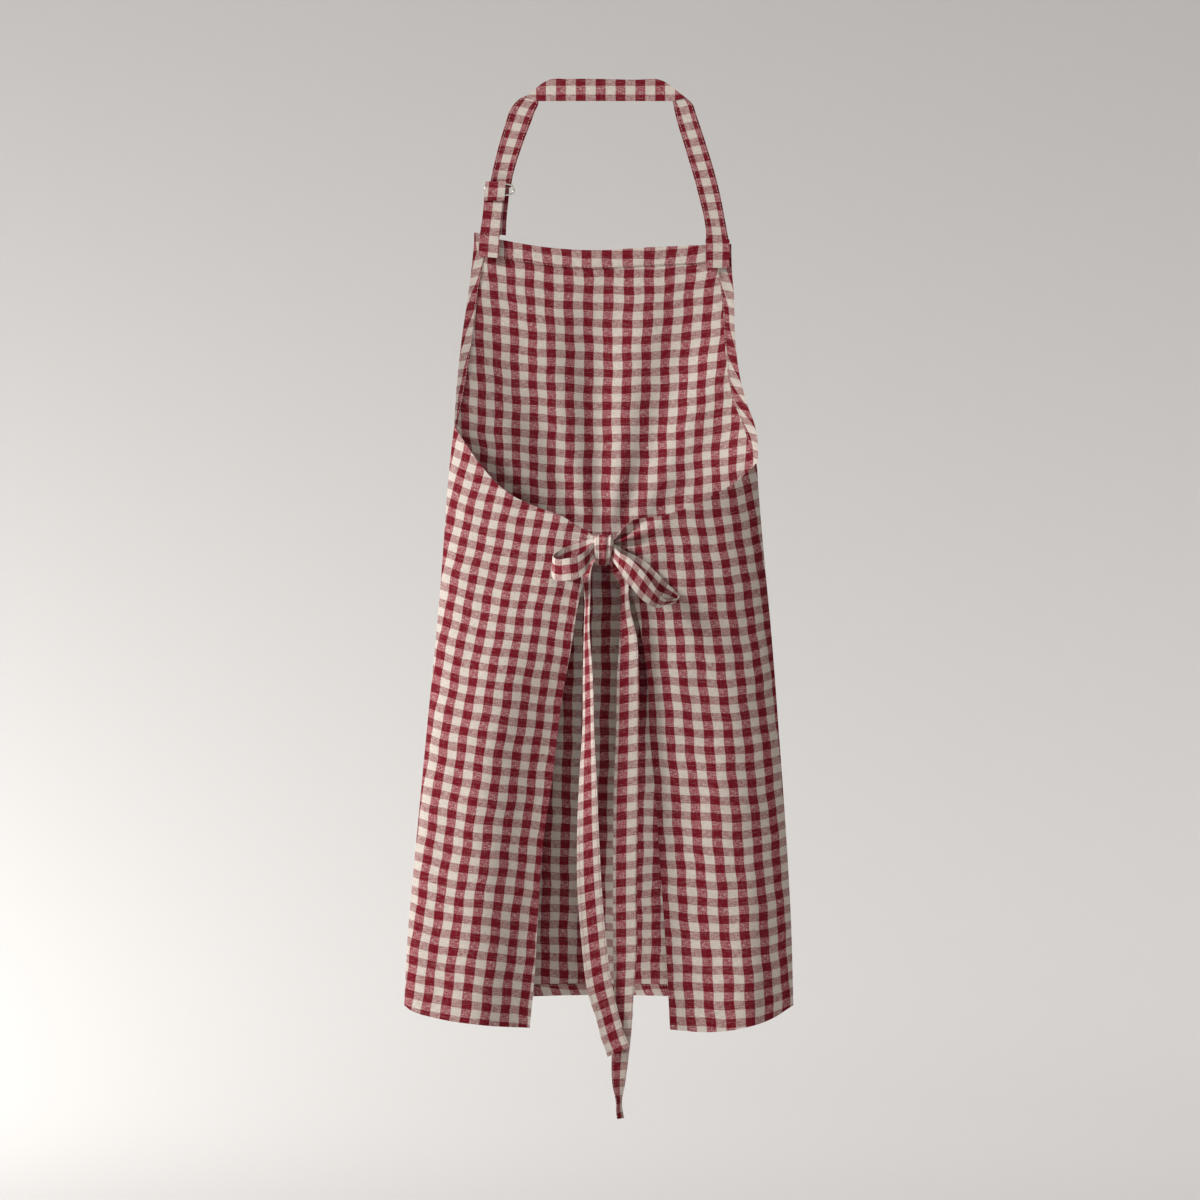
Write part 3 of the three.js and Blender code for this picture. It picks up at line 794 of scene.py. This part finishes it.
class APRON_OT_body(Operator):
    """Make the front with its bib, both wings, their hems and the rows of stitches"""

    bl_idname = "apron.body"
    bl_label = "Body"

    def execute(self, context):
        settings = context.scene.apron
        linen, thick = finish_of("linen_cloth"), settings.cloth / MM
        body = body_grids()
        rows, columns = body["front"].shape[:2]
        keep = np.ones((rows - 1, columns - 1), bool)
        keep[ROWS_BIB:, :LAP] = False
        keep[ROWS_BIB:, -LAP:] = False
        front = shell("front_cloth", body["front"], body["front_lie"], thick, linen,
                      keep=keep, normals=body["front_normal"])
        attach(front, "bib_and_front")
        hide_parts("front_panel")
        hems = self.front_hems(thick, linen)
        seams = self.front_seams()
        for side in SIDES:
            self.wing(side, body, thick, linen)
        return {"FINISHED"}

    def wing(self, side, body, thick, linen):
        piece, place, normal = wing_piece(side, body, thick, linen)
        grid = place[:, ::-1] if side == "left" else place
        facing = normal[:, ::-1] if side == "left" else normal
        first, last = LAP + 3.0, grid.shape[1] - 1.0
        steps = np.linspace(0, 1, 200)
        down = ROWS_BODY * FOOT_HEM / WING_HEIGHT
        c = lerp(first, last, steps)
        r = np.full(200, float(ROWS_BODY)) - down
        top = 2.0 + 1.1 * arch(steps) - 0.9 * steps
        lines = [on_cloth(grid, facing, r, c), on_cloth(grid, facing, top, c)]
        inner = lerp(12.0, ROWS_BODY - down, steps)
        lines.append(on_cloth(grid, facing, inner, np.full(200, last - 4.2)))
        lift = thick / 2
        seam = stitching(f"wing_{side}_seams", [(p + n * lift, n) for p, n in lines],
                         finish_of("seam_thread"))
        bend_wing(piece)
        bend_wing(seam)
        nodes = [f"wing_{side}", *(f"wing_{side}_{part}_hem" for part in ("top", "side", "bottom"))]
        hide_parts(*nodes, f"tie_lead_{side}")

    def front_hems(self, thick, linen):
        """The turned hems of the bib's top, both armholes and the front's foot."""
        hems = []
        u = np.linspace(0, 1, 121)
        v = np.linspace(0, 1, 13)[:, None]
        x = lerp(ARMHOLE["left"][0][1] - 0.3, ARMHOLE["right"][0][1] + 0.3, u)
        top = through(BIB_TOP, x)
        width = 21.0
        z = top + 0.5 - width * v
        x = lerp(side_edge("left", z) - 0.3, side_edge("right", z) + 0.3, u)
        hems.append(self.hem("bib_top_hem_cloth", x, z, thick, linen, (0.06, 0.113),
                             "bib_top_hem"))
        for side, sign in SIDES.items():
            foot = FOLD[side][0][0] + 2
            start = float(through(BIB_TOP, [ARMHOLE[side][0][1]])[0]) - width - 0.3
            down = np.linspace(0, 1, 61)[:, None]
            widths = HEM_WIDTH[side]
            wide = through(widths, down[:, 0])[:, None]
            z = lerp(start, foot, down) + 0 * u[None, :9]
            inwards = np.linspace(0, 1, 9)[None] * wide
            edge = side_edge(side, z) + sign * 0.4
            x = edge - sign * inwards
            turned = np.stack(front_lie(edge + sign * inwards, z), axis=-1)
            if side == "right":
                x, z, turned = x[:, ::-1], z[:, ::-1], turned[:, ::-1]
            hems.append(self.hem(f"armhole_{side}_hem_cloth", x, z, thick, linen, (0, 0),
                                 f"armhole_hem_{side}", lie=turned))
        u = np.linspace(0.1, 0.9, 101)
        x = lerp(FOLD["left"][-1][1], FOLD["right"][-1][1], u)
        foot = through(FRONT_FOOT, x)
        z = foot - 0.5 + 13 * (1 - v)
        x = x + 0 * z
        across, down = front_lie(x + (z - foot) * 0.45, z)
        lie = np.stack([across + 0.3, down + 0.35], axis=-1)
        hems.append(self.hem("front_foot_hem_cloth", x, z, thick, linen, (0, 0),
                             "front_hem", lie=lie))
        return hems

    def hem(self, name, x, z, thick, linen, shift, node, lie=None):
        pucker = 0.18 * np.sin(x * 0.55 + z * 0.31) + 0.12 * np.sin(x * 0.23 - z * 0.47)
        y = front_depth(x, z) - thick * 1.25 + pucker * 0.6
        if lie is None:
            lie = np.stack(front_lie(x, z), axis=-1) + shift
        rows, columns = x.shape
        full = pillow(rows, columns, thick * 1.5, 0.5) * pillow(columns, rows, 1, 0.5).T
        piece = shell(name, drawn_in(np.stack([x, y, z], axis=-1)), lie, full, linen)
        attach(piece, "bib_and_front")
        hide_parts(node)
        return piece

    def front_seams(self):
        lines = []
        u = np.linspace(0.02, 0.98, 240)
        x = lerp(ARMHOLE["left"][0][1], ARMHOLE["right"][0][1], u)
        z = through(BIB_TOP, x) - 19
        lines.append((x, z))
        for side, sign in SIDES.items():
            down = np.linspace(0.02, 0.94, 160)
            widths = HEM_WIDTH[side]
            z = lerp(-184, FOLD[side][0][0] + 2, down)
            x = side_edge(side, z) - sign * (through(widths, down) - 1.7)
            lines.append((x, z))
        x = np.linspace(-200, 175, 300)
        lines.append((x, through(FRONT_FOOT, x) + 11))
        rows = []
        for x, z in lines:
            y = front_depth(x, z) - 1.55
            facing = np.tile([0.0, -1.0, 0.0], (len(x), 1))
            rows.append((drawn_in(np.stack([x, y, z], axis=-1)), facing))
        seams = stitching("front_seams", rows, finish_of("seam_thread"))
        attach(seams, "bib_and_front")
        return seams


# ------------------------------------------------------------------ the neck strap


def flat_band(name, top, foot, y, checks, material, thickness=2.0, rows=60, sway=0.5):
    """A straight band between two heights, each given as (middle x, z, width)."""
    s = np.linspace(0, 1, rows)
    middle = lerp(top[0], foot[0], s)
    z = lerp(top[1], foot[1], s)
    wide = lerp(top[2], foot[2], s)
    run = np.array([foot[0] - top[0], foot[1] - top[1]], float)
    length = np.hypot(*run)
    ahead = run / length
    out = np.array([-ahead[1], ahead[0]])
    depth = y + sway * np.sin(s * 5.5 + top[0])
    edges = []
    for sign in (-0.5, 0.5):
        waver = sign * wide + 0.35 * np.sin(s * length * 0.11 + sign)
        edges.append(np.stack([middle + out[0] * waver, depth, z + out[1] * waver], axis=-1))
    across, down = checks
    lies = []
    for sign in (-0.5, 0.5):
        lies.append(np.stack([across + sign * wide / CHECK[0], down + s * length / BAND_CHECK], axis=-1))
    return ribbon(name, *edges, *lies, thickness, material)


def outlined_band(name, left, right, depths, row_start, material, thickness=1.9):
    """A band between two drawn edges, each a list of (x, z), at depths down its length."""
    s = np.linspace(0, 1, 110)
    y = through(depths, s)
    a, b = along(left, s), along(right, s)
    edges = [np.stack([e[:, 0], y, e[:, 1]], axis=-1) for e in (a, b)]
    middle = (edges[0] + edges[1]) / 2
    far = np.concatenate([[0], np.cumsum(np.linalg.norm(np.diff(middle, axis=0), axis=1))])
    half = np.linalg.norm(b - a, axis=1) / 2 / 20
    lies = [np.stack([0.5 + sign * half, row_start + far / BAND_CHECK], axis=-1) for sign in (-1, 1)]
    return ribbon(name, *edges, *lies, thickness, material), edges


def strap_edges(piece_rows, lines):
    """Rows of edge stitching along both sides of a band."""
    for left, right in lines:
        for share in (0.09, 0.91):
            line = left * (1 - share) + right * share
            line = line + (0, -1.12, 0)
            piece_rows.append((line, np.tile([0.0, -1.0, 0.0], (len(line), 1))))


def joined(name, pieces):
    """Several meshes as one piece."""
    first = pieces[0]
    with bpy.context.temp_override(
        active_object=first, selected_editable_objects=pieces, selected_objects=pieces
    ):
        bpy.ops.object.join()
    first.name = name
    first.data.name = name
    return first


class APRON_OT_strap(Operator):
    """Make the neck strap, the sewn-on tab and the strap's free end"""

    bl_idname = "apron.strap"
    bl_label = "Neck strap"

    def execute(self, context):
        band = finish_of("linen_band")
        middle_y = -4.6
        run_lo, run_hi = (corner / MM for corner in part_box("strap_run"))
        patch_lo, patch_hi = (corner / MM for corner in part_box("strap_patch_right"))
        ring_lo, ring_hi = (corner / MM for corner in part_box("ring_front"))

        x = np.linspace(run_lo.x - 1, run_hi.x - 1, 90)
        upper = through([(x[0], 5), (-91, 11.5), (-83.2, 17.2), (-77, 21.5), (-71.6, 24.2),
                         (-50, 25.2), (30, 24.6), (53, 24.6), (60, 22), (66.7, 17.2),
                         (75, 10.5), (x[-1], 4.5)], x)
        lower = np.where(x < -84, (-84 - x) * 0.25, np.where(x > 69, (x - 69) * 0.25, 0.0)) + 0.4
        y = middle_y + 0.35 * np.sin(x * 0.045)
        top_edge = np.stack([x, y, upper], axis=-1)
        low_edge = np.stack([x, y, lower], axis=-1)
        across = (x + 57.7) / 22.4
        lies = [np.stack([across, 0.5 - (e[:, 2] - 12.5) / 19.5], axis=-1)
                for e in (top_edge, low_edge)]
        run = ribbon("run", low_edge, top_edge, lies[1], lies[0], 1.7, band, columns=13)
        right_foot = (patch_lo.x + patch_hi.x) / 2 + 0.4
        behind = middle_y + 1.2
        left_leg, left_lines = outlined_band(
            "leg_l",
            [(-97.5, 6.5), (-103.5, 3.5), (-111.1, -3.6), (-116, -11.8), (-119.3, -21.6),
             (-137.4, -90.8), (-138.6, -97)],
            [(-83.5, 6), (-83.3, -3), (-87, -11), (-91, -22), (-99.6, -44.7), (-112.7, -87.5),
             (-114.5, -97)],
            [(0, behind), (0.2, behind), (0.7, middle_y), (0.86, -4.2), (0.96, -0.9), (1, -0.8)],
            0.4, band)
        right_leg, right_lines = outlined_band(
            "leg_r",
            [(67.5, 6), (68.3, 1), (71.6, -15.1), (83.1, -54.6), (96.3, -100.6), (106.1, -150),
             (right_foot - 12.8, -158)],
            [(80, 7), (85, 3), (91.3, -3.6), (94.6, -13.4), (102.8, -38.1), (119.3, -94.1),
             (right_foot + 13, -158)],
            [(0, behind), (0.15, behind), (0.6, middle_y), (1, middle_y + 0.6)], 0.0, band)
        patch = flat_band("patch", (right_foot, -155.6, 26.8), (right_foot, patch_lo.z, 27),
                          middle_y - 0.3, (0.5, 0.0), band, rows=20, sway=0.1)
        strap = joined("neck_strap_band", [run, left_leg, right_leg, patch])
        self.hang(strap)
        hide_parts("strap_run", "strap_leg_left", "strap_leg_right",
                    "strap_patch_right")

        tab = flat_band("strap_tab_band", (-133.3, ring_lo.z + 0.5, 21.5), (-140.2, -175.8, 22.5),
                        middle_y - 0.4, (0.27, 0.835), band)
        self.hang(tab)
        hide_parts("strap_tab", "tab_patch_left")
        turn = self.ring_turn(ring_lo, ring_hi, band)

        end_lo, end_hi = (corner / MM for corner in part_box("strap_free_end"))
        middle = (end_lo.x + end_hi.x) / 2
        end = flat_band("strap_end_band", (middle - 1, end_hi.z, 20), (middle - 5, end_lo.z, 20),
                        (end_lo.y + end_hi.y) / 2, (0.5, 0.1), band, rows=24, sway=0.2)
        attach(end, "strap_end")
        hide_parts("strap_free_end")

        rows = []
        strap_edges(rows, [left_lines, right_lines])
        for z, lo, hi in ((patch_lo.z + 2, patch_lo.x + 2, patch_hi.x - 2),
                          (-163, patch_lo.x + 2, patch_hi.x - 2),
                          (-172, -150, -131), (-113, -143, -125), (-150, -148, -129)):
            line = np.stack([np.linspace(lo, hi, 20), np.full(20, middle_y - 1.15),
                             np.full(20, z)], axis=-1)
            rows.append((line, np.tile([0.0, -1.0, 0.0], (20, 1))))
        seams = stitching("strap_seams", rows, finish_of("seam_thread"))
        self.hang(seams)
        return {"FINISHED"}

    def ring_turn(self, ring_lo, ring_hi, band):
        """The turn of cloth that holds both rings to the tab."""
        top, back = ring_hi.z + 0.9, -0.6
        route = [(-7.4, ring_lo.z - 5), (-8.6, ring_lo.z + 2), (-8.8, top - 5), (-8, top - 1.2),
                 (-5.5, top + 0.4), (-2.6, top - 0.2), (back, top - 3), (back, top - 10)]
        s = np.linspace(0, 1, 44)
        y, z = along(route, s).T
        lean = (z - top) * 0.1
        left = np.stack([-142.8 + lean, y, z], axis=-1)
        right = np.stack([-119.6 + lean, y, z], axis=-1)
        far = s * 33 / BAND_CHECK
        lies = [np.stack([0 * s + w, far + 0.05], axis=-1) for w in (-0.45, 0.65)]
        piece = ribbon("ring_turn_band", left, right, *lies, 1.2, band, columns=13)
        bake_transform(piece)
        return piece

    def hang(self, piece):
        """Bakes the piece's placement into its mesh."""
        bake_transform(piece)


class APRON_OT_adjuster(Operator):
    """Make the two wire rings of the adjuster"""

    bl_idname = "apron.adjuster"
    bl_label = "Adjuster"

    def execute(self, context):
        for node in ("ring_front", "ring_back"):
            lo, hi = (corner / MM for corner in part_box(node))
            radius = (hi.y - lo.y) / 2
            turn = np.linspace(0, 2 * math.pi, 96, endpoint=False)
            power = 2 / 2.7
            wide, high = (hi.x - lo.x) / 2 - radius, (hi.z - lo.z) / 2 - radius
            c, s = np.cos(turn), np.sin(turn)
            line = np.stack([
                (lo.x + hi.x) / 2 + wide * np.sign(c) * np.abs(c) ** power,
                np.full(96, (lo.y + hi.y) / 2),
                (lo.z + hi.z) / 2 + high * np.sign(s) * np.abs(s) ** power,
            ], axis=-1)
            wire = tube(f"{node}_wire", line, radius, finish_of("plated_wire"))
            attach(wire, "adjuster")
            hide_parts(node)
        return {"FINISHED"}


# ------------------------------------------------------------------ the bow

KNOT = {"x": -10.4, "y": -46.1, "z": -506.8}

# Bow loops as edge lines: (x, y, z) of the band's upper edge and (x, y, z) of its lower one.
LOOPS = {
    "left": [
        ((-17, -47, -497), (-18, -47, -514)), ((-22, -50, -499), (-24, -50, -519.5)),
        ((-27, -54, -505), (-26.5, -55, -525)), ((-33, -58, -509.5), (-31, -59, -532)),
        ((-40.7, -60, -513.8), (-39, -61, -538.5)), ((-51, -60, -515.5), (-49.5, -61, -540.3)),
        ((-60, -57, -516.8), (-60, -58, -541)), ((-65.5, -52, -515), (-66.3, -53, -538.6)),
        ((-66.5, -47, -512), (-68.2, -47, -533)), ((-63.5, -43, -509.5), (-65, -42, -530)),
        ((-58.5, -40, -506), (-58.5, -39, -527)), ((-51, -38, -502.3), (-50, -37, -524)),
        ((-39, -37, -498.6), (-37, -37, -519)), ((-30, -38, -495.6), (-28, -38, -514)),
        ((-23, -41, -493.5), (-22, -41, -510)), ((-15, -45, -494), (-15, -45, -508)),
    ],
    "right": [
        ((0, -47, -500), (0, -47, -517)), ((9, -52, -509.5), (6, -52, -526)),
        ((17.5, -56, -514), (12, -57, -534.5)), ((25, -58, -520), (18.8, -59, -544)),
        ((33, -59, -528.5), (25.6, -61, -553)), ((40, -59, -536.5), (33, -61, -561.5)),
        ((46, -58, -545), (39.2, -60, -566)), ((51.5, -57, -552.5), (46, -58, -570)),
        ((57, -54, -560), (53, -55, -571.5)), ((62, -51, -562.5), (60, -51, -568.5)),
        ((69, -47, -561.5), (67, -47, -567.6)), ((75.5, -43, -560), (72, -43, -565)),
        ((75.6, -40, -556.5), (66, -41, -562)), ((70.5, -38, -551.5), (59, -39, -560)),
        ((65, -37, -546.5), (52, -37, -558)), ((59.5, -37, -541.8), (46, -37, -556)),
        ((54, -37, -535.5), (40, -37, -551)), ((48, -37, -529), (34, -37, -545)),
        ((40.7, -37, -522), (27, -37, -539)), ((33, -38, -516.2), (20, -38, -533)),
        ((25.6, -39, -512.2), (13, -39, -528)), ((16.6, -41, -508), (7, -41, -522)),
        ((6, -43.5, -501.5), (2, -43.5, -516)), ((-3, -45, -498), (-3, -45, -512)),
    ],
}
# Tails as left x, left z, right x, right z, left y, right y.
TAILS = {
    "left": [
        (-22, -515, -14, -511, -42, -45), (-32, -527, -21, -521, -39, -46),
        (-35, -537, -24, -534, -35, -47), (-32.6, -548, -24.5, -547, -33, -48),
        (-31, -560, -24.7, -560, -31, -49), (-31.5, -590, -25.6, -590, -31, -49),
        (-32.8, -648, -21.8, -648, -31, -48), (-33.3, -707, -20.3, -707, -32, -47),
        (-37, -765, -17.5, -765, -34, -45), (-39.5, -829, -14.7, -829, -36, -42),
        (-39, -893, -11.3, -893, -37, -40), (-34, -956, -5.7, -956, -37, -39),
        (-31, -985, -2.2, -985, -38, -39), (-27.5, -1006, 1.8, -1006, -39, -39),
        (-16, -1043, 11, -1043, -39, -39), (-13, -1056, 15, -1056, -39, -39),
        (-8, -1070, 18.5, -1064, -39, -39), (-5, -1079, 20, -1067, -39, -39),
    ],
    "right": [
        (-3, -510, 4, -505, -43, -46), (-1.5, -520, 10.5, -512, -42, -48),
        (-1.2, -529, 15, -523, -40, -47), (3.5, -537, 17.8, -534, -38, -45),
        (8.6, -544, 18.8, -543, -35, -43), (9.2, -556, 18.8, -558, -33, -41),
        (9, -578, 21.5, -578, -32, -39), (8.8, -600, 27, -600, -32, -38),
        (5.8, -648, 30.3, -648, -33, -36), (4.7, -707, 30.4, -707, -34, -35),
        (2.4, -765, 30.2, -765, -34, -35), (1.2, -893, 28.1, -893, -34, -34),
        (1.5, -968, 27.9, -968, -34, -34), (2.2, -1005, 24.7, -1005, -34, -34),
        (1.5, -1042, 22.6, -1042, -34, -34), (-0.6, -1085, 18, -1085, -34, -33),
        (0.4, -1110, 14.6, -1110, -35, -32), (4.6, -1131, 11, -1131, -36, -32),
        (4.9, -1144, 12.8, -1144, -36, -32), (5.8, -1149, 13.4, -1148, -36, -32),
    ],
}
DARK_COLUMN = {"left": 0.0, "right": -0.2}  # how far the dark stripe lies off a tail's middle


class APRON_OT_bow(Operator):
    """Make the knot and the bow's two loops"""

    bl_idname = "apron.bow"
    bl_label = "Bow"

    def execute(self, context):
        band = finish_of("linen_band")
        self.knot(band)
        for side, lines in LOOPS.items():
            upper, lower = (np.array([pair[i] for pair in lines], float) for i in (0, 1))
            s = np.linspace(0, 1, 130)
            top, foot = drawn_in(along(upper, s)), drawn_in(along(lower, s))
            length = float(np.linalg.norm(np.diff((top + foot) / 2, axis=0), axis=1).sum())
            lie_top = np.stack([0 * s - 0.6, s * length / CHECK[1]], axis=-1)
            lie_foot = np.stack([0 * s + 0.6, s * length / CHECK[1]], axis=-1)
            loop = ribbon(f"bow_loop_{side}_band", top, foot, lie_top, lie_foot, 1.3, band,
                          columns=13)
            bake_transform(loop)
            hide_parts(f"bow_loop_{side}")
        return {"FINISHED"}

    def knot(self, band):
        """A band drawn over itself: a short barrel that narrows downwards, with creases."""
        lo, hi = (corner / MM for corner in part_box("knot"))
        w = np.sin(np.linspace(-1, 1, 37) * math.pi / 2)
        turn = np.linspace(0, 2 * math.pi, 64, endpoint=False)[:, None]
        high, deep = (hi.z - lo.z) / 2, (hi.y - lo.y) / 2
        end_in = (1 - np.abs(w) ** 7) ** 0.4
        crease = 1 + 0.03 * np.sin(w * 9 + 1.3 * np.sin(turn)) * (1 - w**4)
        crease = crease - 0.085 * np.exp(-((np.abs(w + 0.06 * np.sin(turn)) - 0.56) / 0.07) ** 2)
        z = np.sin(turn) * high * end_in * crease
        y = -np.cos(turn) * (deep + 1.5) * end_in * crease
        taper = 1 - 0.17 * (1 - np.sin(turn)) / 2 * 1.2
        x = w * (hi.x - lo.x) / 2 * taper + 0.8 * np.sin(turn)
        points = np.stack([x + KNOT["x"], y + KNOT["y"] + 5.5, z + KNOT["z"]], axis=-1)
        rows, columns = points.shape[:2]
        number = np.arange(rows * columns).reshape(rows, columns)
        nxt = np.roll(number, -1, axis=0)
        quads = np.stack([number[:, :-1], nxt[:, :-1], nxt[:, 1:], number[:, 1:]], axis=-1)
        girth = 2 * math.pi * (high + deep) / 2 / CHECK[1]
        lie = np.stack([w * 0.62 + 0 * turn, turn / (2 * math.pi) * girth + 0 * w], axis=-1)
        knot = mesh_object("knot_band", points.reshape(-1, 3), quads.reshape(-1, 4),
                           lie.reshape(-1, 2), band)
        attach(knot, "left_wing")
        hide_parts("knot")


class APRON_OT_tails(Operator):
    """Make the two tails that hang from the knot"""

    bl_idname = "apron.tails"
    bl_label = "Tails"

    def execute(self, context):
        band, thread = finish_of("linen_band"), finish_of("seam_thread")
        for side, table in TAILS.items():
            t = np.array(table, float)
            s = np.linspace(0, 1, 150)
            left = drawn_in(along(t[:, [0, 4, 1]], s))
            right = drawn_in(along(t[:, [2, 5, 3]], s))
            centre = (left + right) / 2
            far = np.concatenate([[0], np.cumsum(np.linalg.norm(np.diff(centre, axis=0), axis=1))])
            wide = np.linalg.norm(right - left, axis=1)
            half = np.minimum(wide / BAND_WIDTH, 1.0) * 0.6
            off = DARK_COLUMN[side]
            lie = [np.stack([sign * half - off, far / BAND_CHECK], axis=-1) for sign in (-1, 1)]
            tail = ribbon(f"tie_tail_{side}_band", left, right, *lie, 1.3, band, columns=13)
            rows = []
            strap_edges(rows, [(left + (0, 0.45, 0), right + (0, 0.45, 0))])
            seams = stitching(f"tie_tail_{side}_seams", rows, thread)
            for piece in (tail, seams):
                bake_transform(piece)
            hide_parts(f"tie_tail_{side}")
        return {"FINISHED"}


# ------------------------------------------------------------------ stage


class APRON_OT_stage(Operator):
    """Make the pale floor that sweeps up all round, the soft lights and the camera"""

    bl_idname = "apron.stage"
    bl_label = "Stage"

    def execute(self, context):
        settings = context.scene.apron
        self.camera(context, settings)
        self.sweep(settings)
        self.lights(context, settings)
        return {"FINISHED"}

    def camera(self, context, settings):
        lens = bpy.data.cameras.new("camera")
        lens.lens = settings.lens
        lens.clip_end = 100
        camera = bpy.data.objects.new("camera", lens)
        camera.location = (-0.0136, -settings.distance, -0.5627)
        camera.rotation_euler = (math.radians(90), 0, 0)
        context.scene.collection.objects.link(camera)
        context.scene.camera = camera

    def sweep(self, settings):
        """A floor that curves up into a round wall."""
        radius, bend, top = 8.0, 5.0, 7.0
        angle = np.linspace(0, math.pi / 2, 25)
        out = np.concatenate([[0.0, 1.0, 2.0], radius - bend + bend * np.sin(angle), [radius]])
        high = np.concatenate([[0, 0, 0], bend - bend * np.cos(angle), [top]]) + settings.floor
        turn = np.linspace(0, 2 * math.pi, 96, endpoint=False)
        points = np.stack([
            out[None] * np.sin(turn)[:, None], out[None] * np.cos(turn)[:, None],
            high[None] + 0 * turn[:, None],
        ], axis=-1)
        n, m = points.shape[:2]
        number = np.arange(n * m).reshape(n, m)
        nxt = np.roll(number, -1, axis=0)
        quads = np.stack([number[:, :-1], nxt[:, :-1], nxt[:, 1:], number[:, 1:]], axis=-1)
        material, _, shader = principled("studio_sweep")
        shader.inputs["Base Color"].default_value = (*settings.sweep, 1)
        shader.inputs["Roughness"].default_value = 0.9
        shader.inputs["Specular IOR Level"].default_value = 0.1
        floor = mesh_object("studio_floor", points.reshape(-1, 3) / MM, quads.reshape(-1, 4),
                            None, material)

    def lights(self, context, settings):
        def lamp(name, place, towards, size, power, spread=180):
            data = bpy.data.lights.new(name, "AREA")
            data.shape = "DISK"
            data.size = size
            data.energy = power
            data.spread = math.radians(spread)
            light = bpy.data.objects.new(name, data)
            light.location = place
            aim = np.array(towards, float) - np.array(place, float)
            flat = math.hypot(aim[0], aim[1])
            light.rotation_euler = (
                math.atan2(flat, -aim[2]), 0, math.atan2(-aim[0], aim[1])
            )
            light.visible_camera = False
            context.scene.collection.objects.link(light)

        lamp("key", (-3.3, -1.45, 1.6), (0, 0, -0.6), 1.1, settings.key)
        lamp("fill", (0.4, -5.2, 1.0), (0, 0, -0.6), 3.0, settings.fill)
        lamp("backdrop", (-3.6, 2.0, 0.5), (-1.4, 5.4, -1.4), 2.4, settings.backdrop, spread=150)
        lamp("footlight", (2.6, 2.6, 1.8), (0.9, 3.4, -1.5), 2.0, settings.backdrop / 3.5)
        world = bpy.data.worlds.new("studio_air")
        world.use_nodes = True
        air = world.node_tree.nodes["Background"]
        air.inputs["Color"].default_value = (1.0, 1.0, 1.0, 1)
        air.inputs["Strength"].default_value = settings.air
        context.scene.world = world
        context.scene.view_settings.view_transform = "Standard"


# ------------------------------------------------------------------ settings and panel


class ApronSettings(PropertyGroup):
    """Sizes and colours that a user would change"""

    cloth: FloatProperty(name="Cloth", description="Thickness of the linen", default=0.0007,
                         min=0.0002, max=0.002, unit="LENGTH")
    unevenness: FloatProperty(name="Unevenness", description="How slubby the yarn is",
                              default=0.85, min=0, max=2, subtype="FACTOR")
    both_dark: FloatVectorProperty(name="Burgundy square", description="Burgundy over burgundy",
                                   default=(0.165, 0.004, 0.0135), subtype="COLOR")
    dark_warp: FloatVectorProperty(name="Pink square", description="Burgundy warp, cream weft",
                                   default=(0.328, 0.082, 0.1), subtype="COLOR")
    dark_weft: FloatVectorProperty(name="Grey square", description="Cream warp, grey weft",
                                   default=(0.40, 0.235, 0.222), subtype="COLOR")
    neither_dark: FloatVectorProperty(name="Cream square", description="Cream over cream",
                                      default=(0.625, 0.55, 0.488), subtype="COLOR")
    thread: FloatVectorProperty(name="Sewing thread", description="Colour of the stitches",
                                default=(0.6, 0.42, 0.38), subtype="COLOR")
    wire: FloatVectorProperty(name="Wire", description="Colour of the plated rings",
                              default=(0.78, 0.74, 0.66), subtype="COLOR")
    sweep: FloatVectorProperty(name="Sweep", description="Colour of the floor and wall",
                               default=(0.55, 0.532, 0.516), subtype="COLOR")
    floor: FloatProperty(name="Floor", description="Height of the floor", default=-1.5,
                         unit="LENGTH")
    distance: FloatProperty(name="Camera distance", description="In front of the apron",
                            default=4.5, unit="LENGTH")
    lens: FloatProperty(name="Lens", description="Focal length in millimetres", default=119.5)
    key: FloatProperty(name="Key light", description="From the upper left", default=215,
                       subtype="POWER")
    fill: FloatProperty(name="Fill light", description="From the front", default=28,
                        subtype="POWER")
    backdrop: FloatProperty(name="Backdrop light", description="On the wall behind", default=200,
                            subtype="POWER")
    air: FloatProperty(name="Air", description="Light from all round", default=0.31)


PIECES = ("body", "strap", "adjuster", "bow", "tails", "stage")


class APRON_PT_pieces(Panel):
    """Lists what the add-on makes"""

    bl_label = "Tied bib apron"
    bl_idname = "APRON_PT_pieces"
    bl_space_type = "VIEW_3D"
    bl_region_type = "UI"
    bl_category = "Apron"

    def draw(self, context):
        for name in ApronSettings.__annotations__:
            self.layout.prop(context.scene.apron, name)
        for piece in PIECES:
            self.layout.operator(f"apron.{piece}")


CLASSES = (ApronSettings, APRON_OT_stage, APRON_OT_body, APRON_OT_strap, APRON_OT_adjuster,
           APRON_OT_bow, APRON_OT_tails, APRON_PT_pieces)


def register():
    for cls in CLASSES:
        bpy.utils.register_class(cls)
    bpy.types.Scene.apron = PointerProperty(type=ApronSettings)


def unregister():
    del bpy.types.Scene.apron
    for cls in reversed(CLASSES):
        bpy.utils.unregister_class(cls)


def main():
    register()
    for piece in PIECES:
        getattr(bpy.ops.apron, piece)()


if __name__ == "__main__":
    main()
